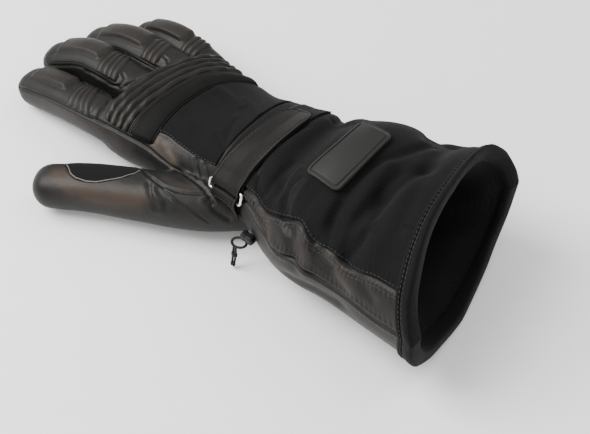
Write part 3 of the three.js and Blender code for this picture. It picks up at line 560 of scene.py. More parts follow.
# The leather and the lining run on a little under the cuff, in metres
SKIN_END = (CUFF_START + 2.5 + SHIFT[0]) / 1000
cut_beyond(skin_mesh, SKIN_END)
hand_skin = dressed(skin_mesh, "hand_skin", LEATHER, (
    "hand_shell", "index_stall", "middle_stall", "ring_stall", "little_stall", "thumb_stall"))


# Hand lining
# Brushed cloth inside the hand, seen only through the wrist. The same forms, drawn in by the wall.
WALL = 3.0
LINING_VOXEL, LINING_PASSES = 0.0022, 8


def cloth(name, dark, light, pitch, sheen=0.03, nap=0.3):
    """Woven cloth: two crossing sets of threads, lint, a soft uneven dye, and painted shade that darkens it
    in seams and grooves.
    """
    material, tree, shader = new_material(name)
    place = tree.nodes.new("ShaderNodeTexCoord").outputs["Object"]
    threads = []
    for turn in ((0.35, 0.2, 0.65), (0.2, -0.3, -0.85)):
        turned = add(tree, "ShaderNodeMapping", {"Rotation": turn, "Vector": place}).outputs[0]
        wave = {"Scale": 0.314 / pitch, "Distortion": 0.8, "Detail": 1, "Detail Scale": 4, "Vector": turned}
        threads.append(add(tree, "ShaderNodeTexWave", wave).outputs["Fac"])
    weave = calculate(tree, "MAXIMUM", *threads)
    cloud = noise(tree, place, 20, 4)
    lint = noise(tree, place, 450, 5, 0.7)
    shade = weighed(tree, (weave, 0.35), (cloud, 0.55), (lint, 0.3))
    # Painted shade: the mark read here darkens the colour towards near black in seams and grooves.
    shaded = calculate(tree, "MULTIPLY", marked(tree, "seam_shade"), 0.8)
    colour = mixed(tree, shaded, ramp(tree, shade, [(0.3, dark), (0.95, light)]), (0.002, 0.002, 0.002))
    tree.links.new(colour, shader.inputs["Base Color"])
    tree.links.new(ramp(tree, lint, [(0.2, 0.78), (0.8, 0.95)]), shader.inputs["Roughness"])
    shader.inputs["Specular IOR Level"].default_value = 0.1
    shader.inputs["Sheen Weight"].default_value = sheen
    shader.inputs["Sheen Roughness"].default_value = 0.4
    raised(tree, shader, [(weave, 0.45, 0.0004), (lint, nap, 0.0005)])
    return material


LINING = cloth("lining_cloth", (0.0022, 0.0022, 0.0024), (0.0095, 0.0095, 0.01), 0.0015, 0.06, 0.6)
lining_mesh = united(hand_forms(-WALL), LINING_VOXEL, LINING_PASSES)
cut_beyond(lining_mesh, SKIN_END)
lining_mesh.flip_normals()
dressed(lining_mesh, "hand_lining", LINING)


# Finger pads
# On the back of each finger a foam pad under leather near the tip, and flex ridges behind it
# that let the knuckle bend. Pad and ridges are one leather piece, sewn into the finger's side seams.
def normals_of(grid):
    down = np.gradient(grid, axis=0)
    across = np.gradient(grid, axis=1)
    normal = np.cross(down, across)
    return normal / np.maximum(np.linalg.norm(normal, axis=-1, keepdims=True), 1e-12)


def settled(grid, surface, reach=0.004):
    """Lays a grid of points on a surface along the grid's own normals."""
    normal = normals_of(grid)
    if (normal * (grid - grid.mean((0, 1)))).sum() < 0 or normal[..., 2].mean() < 0:
        normal = -normal
    fall = np.zeros(grid.shape[:2])
    for i, j in np.ndindex(fall.shape):
        start = grid[i, j] + normal[i, j] * reach
        hit = surface.ray_cast(Vector(start), Vector(-normal[i, j]), 2.2 * reach)[3]
        fall[i, j] = reach if hit is None else hit
    for _ in range(2):
        fall[1:-1, 1:-1] = (fall[1:-1, 1:-1] * 2 + fall[:-2, 1:-1] + fall[2:, 1:-1]
                            + fall[1:-1, :-2] + fall[1:-1, 2:]) / 6
    return grid + normal * (reach - fall)[..., None], normal


def closed_sheet(top, bottom):
    """Points and faces of a closed thin piece from its upper and lower grids."""
    rows, columns = top.shape[:2]
    count = rows * columns
    faces = [grid_faces(rows, columns), grid_faces(rows, columns, start=count)[:, ::-1]]
    rim = np.r_[np.arange(columns), np.arange(1, rows) * columns + columns - 1,
                (rows - 1) * columns + np.arange(columns - 2, -1, -1), np.arange(rows - 2, 0, -1) * columns]
    after = np.roll(rim, -1)
    faces.append(np.stack([after, rim, rim + count, after + count], -1))
    return np.concatenate([top.reshape(-1, 3), bottom.reshape(-1, 3)]), np.concatenate(faces)


def laid(name, grid, height, surface, material, nodes=(), wear=0.0, seam_shade=0.0, sunk=0.0008):
    """A panel laid on a surface, with its height in metres at each grid point."""
    seat, normal = settled(grid, surface)
    top = seat + normal * height[..., None]
    bottom = seat - normal * sunk
    bottom[..., 2] = np.maximum(bottom[..., 2], 0.0001)
    mesh = new_mesh(name, *closed_sheet(top, bottom))
    # The second mark is painted shade, darkening the colour where it is high.
    for key, value in (("wear", wear), ("seam_shade", seam_shade)):
        values = np.broadcast_to(value, height.shape).ravel()
        mark(mesh, key, np.r_[values, values])
    return dressed(mesh, name, material, nodes), top, normal


def smooth_step(low, high, value):
    t = np.clip((value - low) / (high - low), 0, 1)
    return t * t * (3 - 2 * t)


def least(*values):
    return np.minimum.reduce(np.broadcast_arrays(*values))


# Rear and front of the pad as shares of the finger, its side angles, and where the ridges cross
PADS = {
    "index": (0.68, 0.985, 47, 99, [(0.562, 0.6), (0.516, 0.583), (0.47, 0.563), (0.43, 0.54)]),
    "middle": (0.585, 0.95, 44, 103, [(0.512, 0.545), (0.468, 0.515), (0.428, 0.482), (0.395, 0.45)]),
    "ring": (0.545, 0.93, 44, 105, [(0.48, 0.5), (0.44, 0.462), (0.4, 0.425)]),
    "little": (0.63, 0.95, 44, 108, [(0.57, 0.585), (0.525, 0.545), (0.485, 0.505)]),
}
PAD_HEIGHT, RIDGE_HEIGHT, RIDGE_WIDTH = 0.0024, 0.0012, 0.0165
PAD_ROWS, PAD_COLUMNS = 150, 90
for name, (rear, front, far_side, near_side, ridges) in PADS.items():
    full = finger_length(name)
    share = np.linspace(ridges[-1][0] - 0.035, front + 0.03, PAD_ROWS)[:, None]
    angle = np.linspace(34, 146, PAD_COLUMNS)[None, :]
    grid = in_row(finger_at(name, share * full, angle))
    toward = (angle - 38) / (142 - 38)
    pad = (smooth_step(rear - 0.018, rear + 0.022, share) * smooth_step(front + 0.03, front - 0.02, share)
           * smooth_step(far_side - 5, far_side + 7, angle)
           * smooth_step(near_side + 5, near_side - 6, angle))
    crown = 1 + 0.18 * np.sin(np.pi * np.clip((share - rear) / (front - rear), 0, 1))
    height = PAD_HEIGHT * crown * pad
    crease = np.zeros_like(height)
    across = smooth_step(36, 46, angle) * smooth_step(143, 134, angle)
    for near_share, far_share in ridges:
        centre = near_share * toward + far_share * (1 - toward)
        away = np.abs(share - centre) / RIDGE_WIDTH
        height = np.maximum(height, RIDGE_HEIGHT * np.exp(-away ** 3) * across)
        crease = np.maximum(crease, np.exp(-((away - 1.3) / 0.32) ** 2) * across)
    border = least(smooth_step(34, 42, angle), smooth_step(146, 139, angle),
                   smooth_step(share.min(), share.min() + 0.03, share),
                   smooth_step(share.max(), share.max() - 0.025, share))
    height = height + 0.0004 * border - 0.0005 * (1 - border)
    # Painted shade along the pad's rear edge and in the creases between the ridges.
    edge = np.exp(-((pad - 0.3) / 0.25) ** 2) * (pad > 0.02) * (share < rear + 0.01)
    wear, seam_shade = 0.15 + 0.2 * across * (height > 0.0009), np.maximum(0.35 * edge, 0.75 * crease)
    piece, _, _ = laid(f"{name}_pad", grid, height, skin_surface, LEATHER,
                       (f"{name}_back_pad",), wear, seam_shade)


# Thumb insert
# A lens of stretch cloth on the back of the thumb, edged by a pale piping in its curved seam.
INSERT_TOP = 34.0
INSERT_EDGE = np.array([[0.585, 58], [0.608, 79], [0.653, 91], [0.713, 101], [0.766, 110], [0.816, 111],
                        [0.871, 103], [0.905, 91], [0.937, 63], [0.95, 50]])
TEXTILE = cloth("black_textile", (0.0012, 0.0012, 0.0013), (0.0068, 0.0068, 0.007), 0.0011)
THREAD = smooth_stuff("thread", (0.019, 0.018, 0.017), 0.005, 0.6, 0.0, 0.4, 2500.0, 0.35)
PIPING = smooth_stuff("pale_piping", (0.085, 0.08, 0.072), 0.02, 0.5, 0.0, 0.3, 900.0)


def line_tree(name, values, build):
    """A geometry tree with these inputs; build adds the nodes between its input and its painted output."""
    tree = bpy.data.node_groups.new(name, "GeometryNodeTree")
    sockets = [("Geometry", "Geometry"), *((value, "Float") for value in values), ("Material", "Material")]
    for key, kind in sockets:
        tree.interface.new_socket(key, in_out="INPUT", socket_type="NodeSocket" + kind)
    tree.interface.new_socket("Geometry", in_out="OUTPUT", socket_type="NodeSocketGeometry")
    given = tree.nodes.new("NodeGroupInput").outputs
    target = tree.nodes.new("NodeGroupOutput")
    solid = {"Geometry": build(tree, given), "Material": given["Material"]}
    paint = add(tree, "GeometryNodeSetMaterial", solid)
    tree.links.new(paint.outputs["Geometry"], target.inputs["Geometry"])
    return tree


def resampled(tree, given):
    """The lines with points at an even spacing."""
    inputs = {"Curve": given["Geometry"], "Length": given["Spacing"]}
    return add(tree, "GeometryNodeResampleCurve", inputs, mode="LENGTH").outputs["Curve"]


def build_stitches(tree, given):
    """Short thread capsules, end to end along each line, at an even spacing."""
    points = resampled(tree, given)
    bead = add(tree, "GeometryNodeMeshUVSphere", {"Segments": 8, "Rings": 6, "Radius": 1.0})
    half = calculate(tree, "MULTIPLY", given["Length"], 0.5)
    size = add(tree, "ShaderNodeCombineXYZ", {"X": given["Radius"], "Y": given["Radius"], "Z": half})
    tangent = tree.nodes.new("GeometryNodeInputTangent").outputs[0]
    turn = add(tree, "FunctionNodeAlignRotationToVector", {"Vector": tangent}, axis="Z")
    place = add(tree, "GeometryNodeInstanceOnPoints", {
        "Points": points, "Instance": bead.outputs["Mesh"], "Rotation": turn.outputs["Rotation"],
        "Scale": size.outputs[0]})
    real = add(tree, "GeometryNodeRealizeInstances", {"Geometry": place.outputs["Instances"]})
    return real.outputs["Geometry"]


def build_piping(tree, given):
    """A round bead swept along each line."""
    points = resampled(tree, given)
    ring = add(tree, "GeometryNodeCurvePrimitiveCircle", {"Resolution": 8, "Radius": given["Radius"]})
    sweep = add(tree, "GeometryNodeCurveToMesh", {
        "Fill Caps": True, "Curve": points, "Profile Curve": ring.outputs["Curve"]})
    smooth = add(tree, "GeometryNodeSetShadeSmooth", {"Geometry": sweep.outputs["Mesh"]})
    return smooth.outputs["Geometry"]


STITCH_TREE = line_tree("stitches", ("Radius", "Length", "Spacing"), build_stitches)
PIPING_TREE = line_tree("piping", ("Radius", "Spacing"), build_piping)


def grown(source, tree, wanted):
    """The mesh that a geometry tree makes of an object, with these values at its inputs."""
    modifier = source.modifiers.new(tree.name, "NODES")
    modifier.node_group = tree
    for socket in tree.interface.items_tree:
        if socket.in_out == "INPUT" and socket.name in wanted:
            modifier[socket.identifier] = wanted[socket.name]
    return evaluated(source)


def trimmed(name, lines, tree, material, radius, length=0.0, spacing=0.001, closed=False):
    """Makes stitches or piping along lines, and returns them as one plain mesh piece."""
    curve = bpy.data.curves.new(name + "_lines", "CURVE")
    curve.dimensions = "3D"
    for line in lines:
        spline = curve.splines.new("POLY")
        spline.points.add(len(line) - 1)
        spline.points.foreach_set("co", np.c_[line, np.ones(len(line))].ravel())
        spline.use_cyclic_u = closed
    wanted = {"Radius": radius, "Length": length, "Spacing": spacing, "Material": material}
    return dressed(grown(placed(name + "_lines", curve), tree, wanted), name, material)


def on_grid(top, normal, rows, columns, rise=0.0):
    """Reads a line off a grid at fractional rows and columns, raised along its normals."""
    rows, columns = spread(rows, columns)
    i = np.clip(rows.astype(int), 0, top.shape[0] - 2)
    j = np.clip(columns.astype(int), 0, top.shape[1] - 2)
    a, b = (rows - i)[:, None], (columns - j)[:, None]

    def read(grid):
        return (grid[i, j] * (1 - a) * (1 - b) + grid[i + 1, j] * a * (1 - b)
                + grid[i, j + 1] * (1 - a) * b + grid[i + 1, j + 1] * a * b)

    return read(top) + rise * read(normal)


INSERT_ROWS, INSERT_COLUMNS = 110, 60
row_share = np.linspace(0.588, 0.946, INSERT_ROWS)
near = np.interp(row_share, INSERT_EDGE[:, 0], INSERT_EDGE[:, 1])
far = INSERT_TOP + 26 * (2 * (row_share - 0.767) / 0.36) ** 4
down = np.linspace(0, 1, INSERT_ROWS)[:, None]
part = np.linspace(0, 1, INSERT_COLUMNS)[None, :]
angle = far[:, None] + (near - far)[:, None] * part
grid = in_row(finger_at("thumb", row_share[:, None] * finger_length("thumb"), angle))
border = least(smooth_step(0, 0.05, part), smooth_step(1, 0.95, part),
               smooth_step(0, 0.04, down), smooth_step(1, 0.96, down))
# Painted shade along the cloth's border, where it goes down into its seam.
_, top, normal = laid("thumb_insert_cloth", grid, 0.0006 * border - 0.0002 * (1 - border), skin_surface,
                      TEXTILE, ("thumb_insert",), seam_shade=0.6 * (1 - border))
piping_line = on_grid(top, normal, np.linspace(1, INSERT_ROWS - 2, 120), INSERT_COLUMNS - 1.6, 0.0003)
trimmed("thumb_piping", [piping_line], PIPING_TREE, PIPING, 0.00045)


# Knuckle panel
# Soft leather quilted into ribs that run across the knuckles, from the seam behind the fingers to the guard.
# A geometry tree raises the ribs on the laid leather, each one rounded, with a stitched valley between.
RIBS = 4
RIB_HEIGHT = 0.0021
PANEL_SIDES = (26, 151)
# How far the leather of the panel and of the guard goes down into the skin
LEATHER_UNDER = 0.0009
PANEL_ROWS, PANEL_COLUMNS = 170, 92
# The ribs' share of the panel's length, and the places and half width of the two piped ridges behind them
RIBBED = 0.86
RIDGE_PLACES, RIDGE_HALF = (0.905, 0.962), 0.02
# Places round the hand in degrees, and x of the panel edges in millimetres
PANEL_EDGES = np.array([
    [32, -99.6, -60.8, -48.6, -16.0], [46, -104.1, -67.6, -54.0, -16.0], [64, -109.4, -76.0, -62.3, -16.3],
    [82, -113.2, -82.1, -68.4, -17.1], [100, -115.1, -85.5, -70.7, -17.5], [118, -115.1, -86.3, -69.9, -17.9],
    [136, -113.2, -85.9, -68.8, -18.2], [150, -110.2, -85.5, -68.0, -18.6],
])
KNUCKLE_LEATHER = leather("knuckle_leather", (0.004, 0.0038, 0.0035), (0.0092, 0.0086, 0.0078),
                          (0.034, 0.028, 0.023), 0.46, 0.7, 0.14)


def panel_edge(column, angle):
    return curve_at(PANEL_EDGES[:, 0], PANEL_EDGES[:, column], angle)


def laid_back(angles, columns, front, rear):
    """A grid over the back of the hand: rows go round it, columns along it."""
    part = np.linspace(0, 1, columns)[None, :]
    x = front[:, None] * (1 - part) + rear[:, None] * part
    return in_row(trunk_at(x, angles[:, None]))


def build_ribs(tree, given):
    """Moves the points marked by their place across the ribs outwards, in rounded rows."""
    across, fade = (add(tree, "GeometryNodeInputNamedAttribute", {"Name": key}, data_type="FLOAT")
                    .outputs["Attribute"] for key in ("across", "fade"))
    turn = calculate(tree, "MULTIPLY", across, calculate(tree, "MULTIPLY", given["Count"], math.pi))
    wave = calculate(tree, "ABSOLUTE", calculate(tree, "SINE", turn))
    full = calculate(tree, "MULTIPLY", calculate(tree, "POWER", wave, 0.62), given["Height"])
    rise = calculate(tree, "MULTIPLY", full, fade)
    outward = tree.nodes.new("GeometryNodeInputNormal").outputs[0]
    offset = add(tree, "ShaderNodeVectorMath", {0: outward, "Scale": rise}, operation="SCALE").outputs[0]
    place = add(tree, "GeometryNodeSetPosition", {"Geometry": given["Geometry"], "Offset": offset})
    return place.outputs["Geometry"]


def mark_top(mesh, name, values):
    """Marks the upper grid of a closed sheet, and leaves its lower grid at nought."""
    mark(mesh, name, np.r_[values.ravel(), np.zeros(values.size)])


angles = np.linspace(*PANEL_SIDES, PANEL_ROWS)
back_of_hand = laid_back(angles, PANEL_COLUMNS, panel_edge(1, angles), panel_edge(2, angles))
seat, normal = settled(back_of_hand, skin_surface)
part = np.linspace(0, 1, PANEL_COLUMNS)[None, :]
first, last = PANEL_SIDES
side_fade = (smooth_step(first, first + 5, angles) * smooth_step(last, last - 4, angles))[:, None]
across = np.clip(part / RIBBED, 0, 1)
fade = side_fade * (0.85 + 0.3 * np.sin(0.35 * angles + 2.0)[:, None] * np.sin(9.0 * part + 0.6))
wobble = 0.018 * np.sin(0.11 * angles + 1.3)[:, None] * np.sin(np.pi * across)
across_mark = np.clip(across + wobble / RIBS, 0, 1)
piped = 0.0011 * sum(np.exp(-((part - place) / RIDGE_HALF) ** 2) for place in RIDGE_PLACES)
base = (0.0005 + piped) * side_fade - 0.0006 * (1 - side_fade)
top = seat + normal * base[..., None]
mesh = new_mesh("knuckle_panel", *closed_sheet(top, seat - normal * LEATHER_UNDER))
mark_top(mesh, "across", across_mark)
mark_top(mesh, "fade", fade * (part < RIBBED))
rib_tree = line_tree("ribs", ("Count", "Height"), build_ribs)
mesh = grown(placed("ribs_source", mesh), rib_tree,
             {"Count": float(RIBS), "Height": RIB_HEIGHT, "Material": KNUCKLE_LEATHER})
# Painted shade in the valleys between the ribs, and in the hollows beside the piped ridges.
valley = (np.abs(np.sin(np.pi * RIBS * across_mark)) * (part < RIBBED)
          + (part >= RIBBED) * (0.25 + 700 * piped))
mark_top(mesh, "seam_shade", 0.75 * side_fade * np.exp(-(valley / 0.28) ** 2))
mark_top(mesh, "wear", valley ** 3 * (0.35 + 0.55 * smooth_step(105, 140, angles)[:, None]))
knuckle_panel = dressed(mesh, "knuckle_ribs", KNUCKLE_LEATHER, ("knuckle_panel",))


# Knuckle guard
# A smooth padded band arched over the knuckles, in soft matt leather darker than the rest,
# piped along its rear edge, where it overlaps the cloth of the back.
GUARD_HEIGHT, GUARD_EDGE = 0.0034, 0.0012
GUARD_SIDES = (26, 151.5)
GUARD_ROWS, GUARD_COLUMNS = 160, 44
GUARD_LEATHER = leather("guard_leather", (0.0024, 0.0026, 0.0022), (0.0052, 0.0055, 0.0048),
                        (0.01, 0.01, 0.009), 0.66, 0.3, 0.08)
angles = np.linspace(*GUARD_SIDES, GUARD_ROWS)
back_of_hand = laid_back(angles, GUARD_COLUMNS, panel_edge(2, angles) - 0.3, panel_edge(3, angles) + 0.4)
seat, normal = settled(back_of_hand, skin_surface)
part = np.linspace(0, 1, GUARD_COLUMNS)[None, :]
first, last = GUARD_SIDES
ends = (smooth_step(first, first + 8, angles) * smooth_step(last, last - 6.5, angles))[:, None]
swell = np.clip(np.sin(np.pi * part), 0, 1) ** 0.55
height = (GUARD_EDGE * ends + (GUARD_HEIGHT - GUARD_EDGE) * swell * (0.55 + 0.45 * ends)
          - 0.0004 * (1 - ends))
height = np.where((part < 0.03) | (part > 0.97), height - GUARD_EDGE, height)
top = seat + normal * height[..., None]
mesh = new_mesh("knuckle_guard_band", *closed_sheet(top, seat - normal * LEATHER_UNDER))
all_round = np.ones_like(ends)
mark_top(mesh, "wear", 0.25 * swell * all_round)
# Painted shade where the band falls away to its edges.
mark_top(mesh, "seam_shade", 0.7 * np.exp(-((swell - 0.1) / 0.2) ** 2) * all_round)
guard = dressed(mesh, "knuckle_guard_band", GUARD_LEATHER, ("knuckle_guard",))
rows = np.linspace(3, GUARD_ROWS - 4, 200)
trimmed("guard_piping", [on_grid(top, normal, rows, 42.3, 0.0004), on_grid(top, normal, rows, 0.8, 0.0002)],
        PIPING_TREE, KNUCKLE_LEATHER, 0.00055)


# Back panel
# Black stretch cloth from the guard to the strap, with a soft fold near its far side,
# double stitched along its lower edge to the leather of the thumb side.
# The lower edge: x in millimetres and angle
BACK_SIDE = np.array([[-68, 133], [-60, 133], [-52, 136], [-40, 141], [-29, 146], [-22, 148], [-14, 150],
                      [0, 151], [12, 151], [24, 152]], float)
BACK_REAR, BACK_FAR = -13.5, 12
# Folds where the photograph shows them, in its pixels: width and lift in millimetres
CLOTH_FOLDS = [
    ([(219, 90), (229, 97), (241, 108)], 3.0, 1.1), ([(216, 96), (226, 103), (236, 113)], 2.6, -0.7),
    ([(244, 101), (252, 108), (259, 117)], 3.2, 0.6), ([(216, 136), (221, 143), (226, 151)], 1.8, -0.8),
    ([(205, 110), (214, 124), (219, 132)], 5.0, 0.5), ([(236, 122), (229, 135), (226, 146)], 3.2, -0.7),
    ([(232, 150), (240, 140), (252, 128), (266, 118)], 2.2, -1.0),
    ([(180, 120), (195, 135), (205, 147)], 6.0, 0.4),
]
BACK_ROWS, BACK_COLUMNS = 150, 110


def back_side(x):
    return curve_at(BACK_SIDE[:, 0], BACK_SIDE[:, 1], x)


part = np.linspace(0, 1, BACK_COLUMNS)[None, :]
turn = np.linspace(0, 1, BACK_ROWS)[:, None]
low_edge = back_side(np.linspace(-69, BACK_REAR, BACK_COLUMNS))[None, :]
angle = BACK_FAR + (low_edge - BACK_FAR) * turn
front = panel_edge(3, np.clip(angle, 32, 150)) + 0.4
x = front * (1 - part) + BACK_REAR * part
seat, normal = settled(in_row(trunk_at(x, angle)), skin_surface)
border = least(smooth_step(0, 0.03, turn), smooth_step(1, 0.975, turn), smooth_step(0, 0.03, part))
height = 0.0013 * border - 0.0006 * (1 - border)
flat = seat.reshape(-1, 3)
for pixels, width, lift in CLOTH_FOLDS:
    fold = lift / 1000 * bell(away_from_seen(flat, skin_surface, pixels), width)
    height = height + fold.reshape(height.shape)
# No fold goes down to the skin, except at the panel's border
top = seat + normal * np.maximum(height, 0.0010 * border - 0.0006)[..., None]
mesh = new_mesh("back_cloth", *closed_sheet(top, seat - normal * 0.0012))
# Painted shade along the border, where the cloth goes down to the skin.
mark_top(mesh, "seam_shade", 0.8 * (1 - border))
back_cloth = dressed(mesh, "back_cloth", TEXTILE, ("back_panel",))
cloth_stitches = on_grid(top, normal, BACK_ROWS - 4.5, np.linspace(3, BACK_COLUMNS - 3, 160), 0.00015)
beside = np.linspace(-66, -15, 120)
skin_stitches = in_row(trunk_at(beside, back_side(beside) + 2.2))


def onto(line, surface, rise=0.0002):
    """Drops a line onto a surface from outside, and raises it by a little."""
    found = []
    for point in line:
        hit, normal, _, _ = surface.find_nearest(Vector(point))
        found.append(np.array(hit) + np.array(normal) * rise)
    return np.array(found)


trimmed("back_stitches", [cloth_stitches, onto(skin_stitches, tree_of(skin_mesh))],
        STITCH_TREE, THREAD, 0.00028, 0.0021, 0.0029)


# Gauntlet
# A wide cuff of black stretch cloth over padding, with a leather panel along the thumb side and leather
# below, cut in three panels and joined by double stitched seams. It starts under the wrist strap.
WIDTH = 150.0
CUFF_REAR = 165.21
# Broad folds of the solid: x and angle of both ends, width and lift in millimetres
BROAD_FOLDS = [
    (122.0, 48, 131.1, 85, 8.4, -4.0), (131.1, 85, 120.1, 112, 7.6, -4.0),
    (120.1, 112, 110.2, 140, 6.8, -3.0), (101.8, 150, 121.6, 126, 6.1, 2.5),
    (45.6, 128, 76.0, 152, 6.8, -2.5), (39.9, 60, 39.9, 118, 6.8, -2.0),
    (77.9, 196, 114.0, 190, 8.4, -2.0), (-15.2, 85, -22.8, 130, 5.3, -1.0),
    (32.7, 22, 36.5, 56, 4.9, -4.0), (48.6, 30, 48.6, 60, 6.8, 3.5), (96.9, 28, 106.4, 50, 7.6, -4.5),
]
# Edges of the leather side panel: x in millimetres, upper and lower angle
SIDE_PANEL = np.array([
    [22.8, 154, 166], [34.2, 154, 168], [51.3, 152, 170], [66.9, 149, 176], [80.9, 147, 174],
    [91.2, 153, 177], [109.1, 152, 177], [118.2, 155, 177], [144.4, 153, 180], [167.2, 153, 178],
])
FAR_SEAM = 372.0
# Fine folds where the photograph shows them, in its pixels: width and lift in millimetres
CUFF_FOLDS = [
    ([(436, 145.6), (404.6, 153), (379.7, 161.4), (354.9, 181.3), (340, 202.9), (330, 224.4)], 3.6, -2.3),
    ([(389.7, 164.7), (368, 189.6), (351.5, 216), (338, 252)], 4.4, 1.9),
    ([(401, 173), (384.7, 189.6), (375, 216), (361, 241), (346, 260)], 3.6, -2.0),
    ([(420, 170), (400, 200), (385, 230), (368, 262)], 7.0, 1.4),
    ([(423, 181), (408, 209.5), (398, 232)], 4.5, -0.8),
    ([(293, 163), (280, 175), (266.5, 192)], 2.6, -1.5),
    ([(299, 170), (288, 186), (280, 200)], 3.0, 1.1),
    ([(300, 178), (289.5, 189), (283.5, 207)], 2.6, -1.3),
    ([(306, 184), (297, 198), (292, 213)], 3.0, 1.1),
    ([(318, 192), (308, 205), (300, 222)], 3.6, -1.0),
    ([(335, 200), (325, 215), (318, 232)], 4.5, 1.0),
    ([(262, 196), (258, 172), (268, 150), (290, 135), (306, 126)], 3.0, -1.2),
    ([(342, 205), (332, 224), (327, 246)], 2.6, -1.0),
    ([(262, 207), (270, 225), (272, 243)], 4.2, 1.3),
    ([(283, 215), (290, 235), (292, 255)], 4.2, -1.8),
    ([(300, 232), (306, 250), (303, 272)], 4.2, 1.4),
    ([(313, 246), (322, 262), (330, 268)], 3.6, -1.7),
    ([(330, 258), (342, 275), (352, 290)], 4.5, 1.2),
    ([(272, 240), (284, 262), (296, 285)], 4.0, 0.9),
    ([(345, 262), (360, 280), (372, 300)], 3.6, -0.8),
]
# Lines where the cloth is sewn or pinched, with painted shade along them: pixels, width and depth in
# millimetres
CUFF_LINES = [
    ([(256.8, 177.9), (255.6, 187.5), (259.2, 199.7), (266.5, 207)], 0.9, 0.8),
    ([(404, 225), (412, 227.5), (424, 232)], 0.8, 0.5),
]
CUFF_LEATHER = leather("cuff_leather", (0.0036, 0.0033, 0.003),
                       (0.0092, 0.0082, 0.0074), (0.028, 0.023, 0.0195), 0.46, 0.7, 0.16)


def fold_lift(x, angle):
    x, angle = spread(x, angle)
    per_degree = WIDTH / 2 * math.radians(1)
    lift = np.zeros(x.shape)
    for x1, angle1, x2, angle2, width, height in BROAD_FOLDS:
        run, climb = x2 - x1, (angle2 - angle1) * per_degree
        beside = (angle - angle1) * per_degree
        t = np.clip(((x - x1) * run + beside * climb) / (run * run + climb * climb), 0, 1)
        away = np.hypot(x - x1 - run * t, beside - climb * t)
        lift += height * np.exp(-(away / width) ** 2)
    return lift


def cuff_at(x, angle, offset=0.0):
    """The cuff's outer surface; near the wrist it lies over the hand's skin."""
    over = 1.0 * (1 - np.clip((np.asarray(x, float) - 27) / 24, 0, 1) ** 2)
    return in_row(trunk_at(x, angle, offset, fold_lift(x, angle) + over))


def edge_at(column, x):
    return curve_at(SIDE_PANEL[:, 0], SIDE_PANEL[:, column], x)


turns = np.arange(0, 360, 1.5)
stretch = np.arange(-14, CUFF_REAR, 1.5)
cuff_form = cuff_at(stretch[:, None], turns[None, :])
cuff_surface = tree_of(new_mesh("cuff_form", cuff_form, grid_faces(len(stretch), len(turns), True)))


def cuff_panel(name, low_edge, high_edge, start, rows, columns, material, node, stitched, thick=3.0):
    """One closed panel of the cuff, with fine folds, and rolled under at the seams in stitched."""
    x = np.linspace(start, CUFF_REAR, rows)[:, None]
    part = np.linspace(0, 1, columns)[None, :]
    low, high = low_edge(x) + 0.1, high_edge(x) - 0.1
    angle = low + (high - low) * part
    outer = cuff_at(x, angle)
    normal = normals_of(outer)
    if (normal * (outer - outer.mean((0, 1)))).sum() < 0:
        normal = -normal
    flat = outer.reshape(-1, 3)
    move, seam_shade = np.zeros(len(flat)), np.zeros(len(flat))
    for pixels, width, lift in CUFF_FOLDS:
        line = seen_on(cuff_surface, pixels)
        if len(line) > 2:
            move += lift / 1000 * bell(away_from(flat, spaced(line)), width)
    for pixels, width, depth in CUFF_LINES:
        away = away_from_seen(flat, cuff_surface, pixels)
        move -= depth / 1000 * bell(away, width)
        seam_shade = np.maximum(seam_shade, 0.8 * bell(away, width))
    move, seam_shade = move.reshape(angle.shape), seam_shade.reshape(angle.shape)
    per_degree = np.linalg.norm(np.diff(outer, axis=1), axis=-1).sum(1)[:, None] * 1000 / (high - low)
    for side, depth in stitched:
        away = np.abs(angle - (low if side == "low" else high)) * per_degree
        pucker = 0.25 * np.sin(x * 1.9 + 0.7 * np.sin(x * 0.31)) * np.exp(-((away - 4.5) / 2.6) ** 2)
        groove = depth * np.exp(-(away / 1.1) ** 2) - 0.35 * depth * np.exp(-((away - 2.6) / 1.6) ** 2)
        move = move - (groove - pucker) / 1000
        seam_shade = np.maximum(seam_shade, np.exp(-(away / 0.75) ** 2))
    lead = np.clip((x - start) / 2.0, 0, 1)
    move = move - 0.0009 * (1 - lead) ** 2
    top = outer + normal * move[..., None]
    top[..., 2] = np.maximum(top[..., 2], 0.0)
    bottom = in_row(trunk_at(x, angle, -thick, fold_lift(x, angle)))
    bottom = np.where((x < 30)[..., None], top - normal * 0.0008, bottom)
    mesh = new_mesh(name, *closed_sheet(top, bottom))
    # Painted shade along the sewn and pinched lines and in the seams' grooves.
    mark_top(mesh, "seam_shade", seam_shade)
    mark_top(mesh, "wear", np.clip(move / 0.0018, 0, 1) * 0.9 + 0.28)
    piece = dressed(mesh, name, material, (node,))
    return top, normal, per_degree * (high - low) / (columns - 1)


def always(angle):
    return lambda x: np.full(np.shape(x), float(angle))


top_grid = cuff_panel("cuff_cloth", always(FAR_SEAM - 360), lambda x: edge_at(1, x), -12.0, 168, 250, TEXTILE,
                      "gauntlet_top", [("high", 1.0), ("low", 0.8)])
side_grid = cuff_panel("cuff_side_leather", lambda x: edge_at(1, x), lambda x: edge_at(2, x), 4.0, 190, 54,
                       CUFF_LEATHER, "gauntlet_side", [("low", 1.0), ("high", 1.3)])
cuff_panel("cuff_palm_leather", lambda x: edge_at(2, x), always(FAR_SEAM), 12.0, 120, 190, CUFF_LEATHER,
           "gauntlet_underside", [("low", 1.3), ("high", 0.8)])


def beside_seam(grid, inset, first, last, low=True, count=500):
    """A line on a panel at a fixed distance in millimetres from its seam."""
    top, normal, pitch = grid
    rows = np.linspace(first, last, count)
    columns = inset / np.interp(rows, np.arange(len(pitch)), pitch[:, 0])
    return on_grid(top, normal, rows, columns if low else top.shape[1] - 1 - columns, 0.00012)


